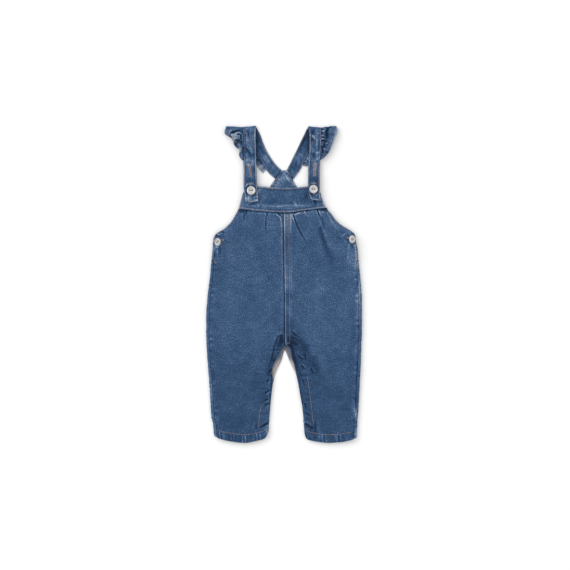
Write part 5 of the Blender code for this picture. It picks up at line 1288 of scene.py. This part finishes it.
def relief_wear_and_shade(x, y, relief, across, down, shape):
    """Washing pales what stands above the cloth round it; the hollows are darkened, as indigo the wash
    left there and as painted crease shade.
    """
    order = np.lexsort((across, down))
    grid_x, grid_y, grid = (values[order].reshape(shape) for values in (x, y, relief))
    cells = [
        np.mean(np.hypot(np.diff(grid_x, axis=axis), np.diff(grid_y, axis=axis)))
        for axis in (0, 1)
    ]
    near, far = (
        smoothed(grid, [int(round(2 * (spread / cell) ** 2)) for cell in cells])
        for spread in (NEAR_SPREAD, FAR_SPREAD)
    )
    wear_and_shade = np.empty_like(relief)
    wear_and_shade[order] = (NEAR_WEAR_AND_SHADE * (grid - near) + FAR_WEAR_AND_SHADE * (grid - far)).ravel()
    return wear_and_shade


def new_piece(name, mesh):
    """A smooth object of the mesh."""
    mesh.shade_smooth()
    item = bpy.data.objects.new(name, mesh)
    bpy.context.collection.objects.link(item)
    return item


def cloth(name, node, columns, rows, place, materials, wall=SHELL, faces_up=True):
    """A fine shell: a grid moved onto the piece's outer face and thickened inwards."""
    shape = bmesh.new()
    bmesh.ops.create_grid(shape, x_segments=columns, y_segments=rows, size=0.5)
    across = np.round((np.array([vert.co.x for vert in shape.verts]) + 0.5) * columns)
    down = np.round((np.array([vert.co.y for vert in shape.verts]) + 0.5) * rows)
    mesh = bpy.data.meshes.new(name)
    shape.to_mesh(mesh)
    shape.free()
    x, y, z, grain_x, grain_y, lift, relief = place(across / columns, down / rows)
    # Paleness from wear and washing, with the painted shade that the tables, the pieces and the hollows
    # add
    wear_and_shade = lift + relief_wear_and_shade(x, y, relief, across, down, (rows + 1, columns + 1))
    points = np.stack([x + SHIFT.x, y + SHIFT.y, z], 1) * MM
    mesh.vertices.foreach_set("co", points.ravel())
    corners = np.empty(len(mesh.loops), int)
    mesh.loops.foreach_get("vertex_index", corners)
    uv = np.stack([grain_x, grain_y], 1)[corners] * MM
    mesh.uv_layers.new(name="cloth").data.foreach_set("uv", uv.ravel())
    attribute = mesh.attributes.new("wear_and_shade", "FLOAT", "POINT")
    attribute.data.foreach_set("value", np.clip(wear_and_shade, -1, 1))
    mesh.update()
    corner = int(np.flatnonzero((across == columns) & (down == 0))[0])
    facing = next(poly.normal.z for poly in mesh.polygons if corner in poly.vertices)
    if (facing > 0) != faces_up:
        mesh.flip_normals()
    for material in materials:
        mesh.materials.append(material)
    item = new_piece(name, mesh)
    solid = item.modifiers.new("wall", "SOLIDIFY")
    solid.thickness = wall * MM
    solid.offset = -1
    solid.use_even_offset = False
    solid.material_offset = len(materials) - 1
    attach(item, "root")
    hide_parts(node)
    return item


washed_denim = denim_group()
WRONG_SIDE = denim("wrong side of the denim", washed_denim, wash=(0.105, 0.135, 0.185))
FRONT = denim("denim of the fronts", washed_denim, tone=0.495)
BACK = denim("denim of the backs", washed_denim)
BIB = denim("denim of the bib", washed_denim, patches=1.3)
STRAP = denim("denim of the straps", washed_denim, tone=0.53, heather=1.1, patches=1.6)
PEAK_DENIM = denim("denim of the peak", washed_denim, tone=0.56)
FRILL = denim("denim of the frills", washed_denim, tone=0.5)
THREAD = thread_material()
PEARL = pearl_material("pearl")
# a darker copy of the pearl: painted shade for the left side button
SHADED_PEARL = pearl_material("pearl of the left side button", 0.74)

CLOTHS = {
    "bib": cloth("bib_cloth", "bib", 120, 36, bib, (BIB, BIB), wall=1.8),
    "peak": cloth("peak_cloth", "back_peak", 50, 40, peak, (PEAK_DENIM,) * 2, wall=1.5),
}
for side in SIDES:
    for kind, columns, rows, place, face, wall in (
        ("front", 108, 330, front, (FRONT, WRONG_SIDE), SHELL),
        ("back", 74, 200, back, (BACK, WRONG_SIDE), SHELL),
        ("strap", 18, 230, strap, (STRAP, STRAP), 1.6),
        ("frill", 30, 180, frill, (FRILL, FRILL), 0.9),
    ):
        name = kind + "_" + side
        CLOTHS[name] = cloth(
            name + "_cloth", name, columns, rows, place(side), face, wall, kind != "back"
        )


def paint_gap_shadow(side, least, most):
    """The back's facing along the crotch, painted pale grey where it shows in the gap between the legs,
    for the soft shadow there.
    """
    mesh = CLOTHS["back_" + side].data
    spots = np.empty(3 * len(mesh.vertices))
    mesh.vertices.foreach_get("co", spots)
    x, y = spots[0::3] / MM - SHIFT.x, spots[1::3] / MM - SHIFT.y
    from_inner = np.abs(x - read(BACK_INNER, side, y))
    shown = ease((-104 - y) / 8) * ease((y + 158) / 6) * bell(from_inner - 1, 6)
    share = shown * mix(least, most, ease((-118 - y) / 16))
    mesh.attributes.new("gap_shadow", "FLOAT", "POINT").data.foreach_set("value", share)


paint_gap_shadow("left", 0.05, 0.75)
paint_gap_shadow("right", 0.1, 1.0)

# ---------------------------------------------------------------- topstitching
STITCH_STEP, STITCH_LENGTH = 3.0, 2.3
LONGEST_STITCH = 1.6 * STITCH_LENGTH  # a longer one would cross a gap in the cloth
THREAD_RADIUS, STRAP_THREAD, FINE_THREAD, FAINT_THREAD = 0.36, 0.3, 0.26, 0.22
SUNK = 0.22  # how deep the stitches sink into the cloth that lies on the floor
CLEAR = 0.05  # metres, further off than any cloth above or below
SLIT = 0.35  # half the gap between the lips of a buttonhole
depsgraph = bpy.context.evaluated_depsgraph_get()
SKINS = {name: BVHTree.FromObject(item, depsgraph) for name, item in CLOTHS.items()}


def dropped(piece, x, y, below=False):
    """The point of a shell straight below a table place, or straight above it from beneath."""
    start = Vector(((x + SHIFT.x) * MM, (y + SHIFT.y) * MM, -CLEAR if below else CLEAR))
    point = SKINS[piece].ray_cast(start, Vector((0, 0, 1 if below else -1)))[0]
    return point + Vector((0, 0, SUNK * MM)) if below and point else point


def joined(shape, part):
    """The part's faces put into the shape; a row at a time is quicker than a thread at a time."""
    mesh = bpy.data.meshes.new("row")
    part.to_mesh(mesh)
    part.free()
    shape.from_mesh(mesh)
    bpy.data.meshes.remove(mesh)


def strand(shape, a, b, radius=THREAD_RADIUS):
    """A short length of thread from one point to another, thin towards its ends."""
    turn = (b - a).to_track_quat("Z", "Y").to_matrix().to_4x4()
    size = Matrix.Diagonal((radius * MM, radius * MM, (b - a).length / 2, 1.0))
    place = Matrix.Translation((a + b) / 2) @ turn @ size
    bmesh.ops.create_uvsphere(shape, u_segments=6, v_segments=4, radius=1.0, matrix=place)


def row_of_stitches(shape, piece, x, y, below=False, radius=THREAD_RADIUS):
    """Stitches along a line of table places, each lying on the shell."""
    run = np.concatenate([[0.0], np.cumsum(np.hypot(np.diff(x), np.diff(y)))])
    count = max(1, int(run[-1] / STITCH_STEP))
    row = bmesh.new()
    for start in (run[-1] - (count - np.arange(count) * 2) * STITCH_STEP) / 2:
        places = ((np.interp(at, run, x), np.interp(at, run, y)) for at in (start, start + STITCH_LENGTH))
        ends = [dropped(piece, *place, below) for place in places]
        if None not in ends and (ends[1] - ends[0]).length < LONGEST_STITCH * MM:
            strand(row, *ends, radius)
    joined(shape, row)


def bars(shape, piece, a, b, half, step=0.75, gap=0.0, radius=THREAD_RADIUS):
    """Threads laid close across a line: a bar tack, or with a gap the two lips of a buttonhole."""
    way = (Vector(b) - Vector(a)).normalized()
    beside = Vector((-way.y, way.x))
    count = int((Vector(b) - Vector(a)).length / step) + 1
    row = bmesh.new()
    for index in range(count):
        middle = Vector(a) + way * index * step
        lips = ((gap, half), (-half, -gap)) if gap else ((-half, half),)
        for low, high in lips:
            ends = [dropped(piece, *(middle + beside * away)) for away in (low, high)]
            if None not in ends:
                strand(row, *ends, radius)
    joined(shape, row)


def buttonhole(shape, piece, a, b, half):
    """Two lips of close thread round a slit, and a bar across each end."""
    way = (Vector(b) - Vector(a)).normalized()
    bars(shape, piece, a, b, half, gap=SLIT)
    bars(shape, piece, Vector(a) - way * 0.9, Vector(a) + way * 0.1, half)
    bars(shape, piece, Vector(b) - way * 0.1, Vector(b) + way * 0.9, half)


def thread_piece(name, shape):
    """All the stitches of one piece as one object."""
    mesh = bpy.data.meshes.new(name)
    shape.to_mesh(mesh)
    shape.free()
    mesh.materials.append(THREAD)
    item = new_piece(name, mesh)
    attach(item, "root")
    return item


# Stitching that shows through from the inner leg's placket
PLACKET = tables(
    "y x",
    left=[(-198, -37.4), (-210.4, -39.8), (-235.1, -42.5)],
    right=[(-152, 38.2), (-157.6, 39), (-179, 42.2), (-202.1, 45), (-231.8, 48.3)],
)
HIGHEST_HEM_STITCH = -238.4
# How far in from their edge the rows of stitches lie
OPENING_ROW, ARMHOLE_ROW, PEAK_ROW, STRAP_ROW = 1.9, 2.2, 3.4, 1.7
FELL_ROWS, INSEAM_ROWS, BACK_SEAM_ROWS = (1.3, 8.0), (2.2, 8.2), (2.0, 8.0)
BIB_TOP_ROW, BIB_SEAM_ROW, BIB_SIDE_ROW = 2.4, 2.3, 1.8
# The ends and half width of each buttonhole, and the tacks that end the side openings
SPARE_HOLES = {
    "left": ((-57.3, 197.6), (-54.8, 178.4), 1.8),
    "right": ((50.9, 200.0), (50.2, 179.4), 2.1),
}
STRAP_HOLES = {
    "left": ((-55.7, 166.2), (-54.6, 147.0), 1.7),
    "right": ((49.2, 167.0), (49.3, 149.0), 1.7),
}
SIDE_HOLES = {
    "left": ((-100.6, 72.8), (-116.0, 71.2), 1.6),
    "right": ((104.6, 76.8), (118.0, 73.0), 1.6),
}
OPENING_TACKS = {"left": ((-116.6, 37.9), (-112.2, 35.0)), "right": ((118.8, 45.6), (122.0, 43.0))}


def along_hem(side, inner, corner):
    """Places across a leg above its hem, from its side to its inner edge."""
    start = read(OUTLINE, side, HEM_CORNER) - TURN[side] * corner
    return np.linspace(start, read(inner, side, HEM_CORNER) + TURN[side] * 2, 90)


def front_seams(side):
    """Hem, placket, side opening with its tack and buttonhole, and the felled seam on the right."""
    shape, piece, turn = bmesh.new(), "front_" + side, TURN[side]
    x = along_hem(side, FRONT_INNER, 9)
    above_hem = read(HEMS[side], "y", x) + HEM_BAND + 0.6
    row_of_stitches(shape, piece, x, np.minimum(above_hem, HIGHEST_HEM_STITCH))
    row_of_stitches(shape, piece, PLACKET[side]["x"], PLACKET[side]["y"])
    y = np.linspace(124.0, 38.0, 60)
    row_of_stitches(shape, piece, read(OUTLINE, side, y) - turn * OPENING_ROW, y)
    bars(shape, piece, *OPENING_TACKS[side], 1.0)
    buttonhole(shape, piece, *SIDE_HOLES[side])
    if side == "right":
        y = np.linspace(117.0, -97.4, 90)
        inner = read(FRONT_INNER, side, y)
        for inset, radius in zip(FELL_ROWS, (THREAD_RADIUS, FINE_THREAD)):
            row_of_stitches(shape, piece, inner + inset, y, radius=radius)
        row_of_stitches(shape, piece, np.array([3.4, 11.4]), np.array([-97.6, -97.6]))
    return thread_piece(piece + "_stitches", shape)


def back_seams(side):
    """Inseam with its overcast edge, felled seam on the right, hem and armhole."""
    shape, piece, turn = bmesh.new(), "back_" + side, TURN[side]
    y = np.linspace(-112.0, -240.0, 90)
    inner = read(BACK_INNER, side, y)
    for inset in INSEAM_ROWS:
        for below in (False, True):
            row_of_stitches(shape, piece, inner + turn * inset, y, below)
    row = bmesh.new()
    for y in np.arange(-106.0, -151.0 if side == "left" else -125.0, -1.4):
        edge = float(read(BACK_INNER, side, y))
        ends = [dropped(piece, edge + turn * away, y + away / 3) for away in (0.7, 2.9)]
        if None not in ends:
            strand(row, *ends)
    joined(shape, row)
    y = np.linspace(138.0, -104.0, 90)
    for inset in BACK_SEAM_ROWS if side == "right" else ():
        row_of_stitches(shape, piece, read(BACK_INNER, side, y) + turn * inset, y, below=True)
    x = along_hem(side, BACK_INNER, 8)
    row_of_stitches(shape, piece, x, read(HEMS[side], "y", x) + HEM_BAND + 1.6, below=True)
    y = np.linspace(138.0, 80.0, 40)
    for below in (False, True):
        row_of_stitches(shape, piece, read(BACK_ARMHOLE, side, y) - turn * ARMHOLE_ROW, y, below)
    return thread_piece(piece + "_stitches", shape)


def bib_seams():
    """A row along each edge of the bib."""
    shape = bmesh.new()
    x = np.linspace(-64.0, 58.4, 90)
    row_of_stitches(shape, "bib", x, read(BIB_TOP, "y", x) - BIB_TOP_ROW)
    x = np.linspace(-72.6, 68.2, 90)
    row_of_stitches(shape, "bib", x, read(BIB_SEAM, "y", x) + BIB_SEAM_ROW)
    down = np.linspace(0.12, 0.88, 12)
    for side in SIDES:
        x = read(BIB_SIDES, side, down) - TURN[side] * BIB_SIDE_ROW
        row_of_stitches(shape, "bib", x, mix(read(BIB_TOP, "y", x), read(BIB_SEAM, "y", x), down))
    return thread_piece("bib_stitches", shape)


def peak_seams():
    """A row along both sides of the peak, on both faces."""
    shape = bmesh.new()
    y = np.linspace(182.0, 143.0, 30)
    for side in SIDES:
        for below in (False, True):
            row_of_stitches(shape, "peak", read(PEAK, side, y) - TURN[side] * PEAK_ROW, y, below)
    return thread_piece("peak_stitches", shape)


def strap_seams(side):
    """Rows along both edges and across the end, and the strap's two buttonholes."""
    shape, piece = bmesh.new(), "strap_" + side
    # Each row's start and end along the strap, and whether it is on the underside
    for first, last, below in (
        (0.02, 0.6, False), (0.66, 0.97, False), (1.03, 1.98, False), (1.03, 1.98, True),
    ):
        for edge, other in (("outer", "inner"), ("inner", "outer")):
            run = np.linspace(first, last, 60)
            a, b = (np.array(strap_edge(side, name, run)) for name in (edge, other))
            radius = STRAP_THREAD if first < 0.5 or below else FAINT_THREAD
            inset = STRAP_ROW / np.hypot(*(a - b))
            row_of_stitches(shape, piece, *mix(a, b, inset), below, radius)
    outer, inner = (np.array(strap_edge(side, edge, 0.014)) for edge in ("outer", "inner"))
    row_of_stitches(shape, piece, *np.stack([mix(outer, inner, 0.1), mix(inner, outer, 0.1)], 1))
    buttonhole(shape, piece, *SPARE_HOLES[side])
    buttonhole(shape, piece, *STRAP_HOLES[side])
    return thread_piece(piece + "_stitches", shape)


def frill_seams(side):
    """Rows along the free edge on the face that shows, and one on the underside."""
    shape, piece, rows = bmesh.new(), "frill_" + side, FRILLS[side]
    # Each row's start and end along the strap, its face, and how far in from the free edge it lies
    for first, last, below, reach in (
        (0.56, 0.985, False, 5.4),
        (1.05, 1.62, True, 5.4),
        (1.42, 1.75, False, 0.9),
        (1.42, 1.75, False, 4.6),
    ):
        run = np.linspace(first, min(last, rows["run"][-1]), 80)
        outer = np.array(strap_edge(side, "outer", run))
        free = np.array([read(rows, "free_x", run), read(rows, "free_y", run)])
        inset = np.minimum(reach / np.hypot(*(free - outer)), 0.5)
        row_of_stitches(shape, piece, *mix(free, outer, inset), below)
    return thread_piece(piece + "_stitches", shape)


STITCHES = {"bib": bib_seams(), "peak": peak_seams()}
SEAMS = {"front": front_seams, "back": back_seams, "strap": strap_seams, "frill": frill_seams}
for side in SIDES:
    for kind, sewn in SEAMS.items():
        STITCHES[kind + "_" + side] = sewn(side)

# ---------------------------------------------------------------- buttons
BUTTON_HEIGHT = 2.8
WELL_FLOOR = 0.62  # of the height
# The rim's section, from the well over the rim to the underside, as shares of radius and height
RIM = (
    (0.507, 0.62), (0.56, 0.65), (0.62, 0.80), (0.68, 0.94), (0.75, 1.0), (0.84, 0.98), (0.92, 0.88),
    (0.98, 0.70), (1.0, 0.50), (0.98, 0.30), (0.92, 0.12), (0.84, 0.0), (0.507, 0.0),
)
HOLE_RADIUS, HOLE_SPACING = 1.05, 4.0
THREAD_APART, THREAD_OVER_WELL, THREAD_INSIDE = 0.6, 0.25, 0.3
# Each button's place, its underside's height, its tilts and turn in degrees, and its radius
BUTTONS = {
    "strap_button_left": (-54.2, 154.2, 8.6, -14.0, 0.0, 4.0, 7.3),
    "strap_button_right": (48.6, 156.6, 8.45, -5.0, 0.0, -8.0, 6.95),
    "side_button_left": (-108.6, 69.6, 10.6, 0.0, -38.0, 40.0, 6.5),
    "side_button_right": (111.2, 74.0, 10.9, 0.0, 42.0, -8.0, 6.6),
}


def ring(shape, centre, height):
    """The edges of one hole's rim."""
    place = Matrix.Translation((centre * MM, 0, height * MM))
    circle = bmesh.ops.create_circle(shape, segments=12, radius=HOLE_RADIUS * MM, matrix=place)
    verts = circle["verts"]
    return [edge for edge in shape.edges if edge.verts[0] in verts and edge.verts[1] in verts]


def button(name):
    """A dished button with two holes through its well, on the place and tilt of its solid."""
    x, y, under, tilt_x, tilt_y, turn, radius = BUTTONS[name]
    shape = bmesh.new()
    profile = [
        shape.verts.new((share * radius * MM, 0, height * BUTTON_HEIGHT * MM))
        for share, height in RIM
    ]
    edges = [shape.edges.new(pair) for pair in zip(profile, profile[1:])]
    around = {"axis": (0, 0, 1), "cent": (0, 0, 0), "angle": 2 * np.pi, "steps": 48}
    bmesh.ops.spin(shape, geom=profile + edges, use_merge=True, **around)
    holes = []
    for height in (WELL_FLOOR * BUTTON_HEIGHT, 0.0):
        rim = [
            edge
            for edge in shape.edges
            if edge.is_boundary and all(abs(vert.co.z - height * MM) < 1e-6 for vert in edge.verts)
        ]
        pair = [ring(shape, half * HOLE_SPACING / 2, height) for half in (-1, 1)]
        holes.append(pair)
        bmesh.ops.triangle_fill(shape, edges=rim + pair[0] + pair[1], use_beauty=True)
    for upper, lower in zip(*holes):
        bmesh.ops.bridge_loops(shape, edges=upper + lower)
    bmesh.ops.recalc_face_normals(shape, faces=shape.faces)
    tilt = Matrix.Rotation(np.radians(tilt_y), 4, "Y") @ Matrix.Rotation(np.radians(tilt_x), 4, "X")
    place = Matrix.Translation(((x + SHIFT.x) * MM, (y + SHIFT.y) * MM, under * MM)) @ tilt
    place = place @ Matrix.Rotation(np.radians(turn), 4, "Z")
    shape.transform(place)
    mesh = bpy.data.meshes.new(name)
    shape.to_mesh(mesh)
    shape.free()
    mesh.materials.append(SHADED_PEARL if name == "side_button_left" else PEARL)
    item = new_piece(name + "_pearl", mesh)
    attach(item, "root")
    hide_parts(name)

    threads = bmesh.new()
    top = WELL_FLOOR * BUTTON_HEIGHT + THREAD_OVER_WELL
    hole = HOLE_SPACING / 2
    inside = hole - THREAD_INSIDE
    for beside in (-THREAD_APART / 2, THREAD_APART / 2):
        for start, end in (
            ((-hole, top), (hole, top)),
            ((-inside, top), (-inside, -1)),
            ((inside, top), (inside, -1)),
        ):
            ends = [place @ (Vector((x, beside, z)) * MM) for x, z in (start, end)]
            strand(threads, *ends, radius=FINE_THREAD)
    thread_piece(name + "_thread", threads)


for name in BUTTONS:
    button(name)

# ---------------------------------------------------------------- floor, light and camera
bpy.ops.mesh.primitive_plane_add(size=8.0, location=(0, 0, 0))
floor = bpy.context.object
floor.name = "floor"
floor.data.materials.append(floor_material())

world = bpy.data.worlds.new("room")
world.use_nodes = True
room = world.node_tree.nodes["Background"]
room.inputs["Color"].default_value = (1, 1, 1, 1)
room.inputs["Strength"].default_value = 0.945
bpy.context.scene.world = world

sun = bpy.data.objects.new("window", bpy.data.lights.new("window", "SUN"))
sun.data.energy = 1.85
sun.data.angle = np.radians(60)
sun.rotation_euler = Vector((1.0, -0.75, -0.5)).to_track_quat("-Z", "Y").to_euler()
bpy.context.collection.objects.link(sun)

PIXEL, FRAME = 1.65, 570  # millimetres across a pixel at the garment, and pixels across the frame
VIEW_HEIGHT, FOCUS_HEIGHT, SENSOR = 2.5, 0.006, 36.0
camera = bpy.data.objects.new("camera", bpy.data.cameras.new("camera"))
bpy.context.collection.objects.link(camera)
camera.data.sensor_width = SENSOR
camera.data.lens = SENSOR * (VIEW_HEIGHT - FOCUS_HEIGHT) / (FRAME * PIXEL * MM)
camera.location = (1.2 * MM, -1.1 * MM, VIEW_HEIGHT)
bpy.context.scene.camera = camera
bpy.context.scene.view_settings.view_transform = "Standard"
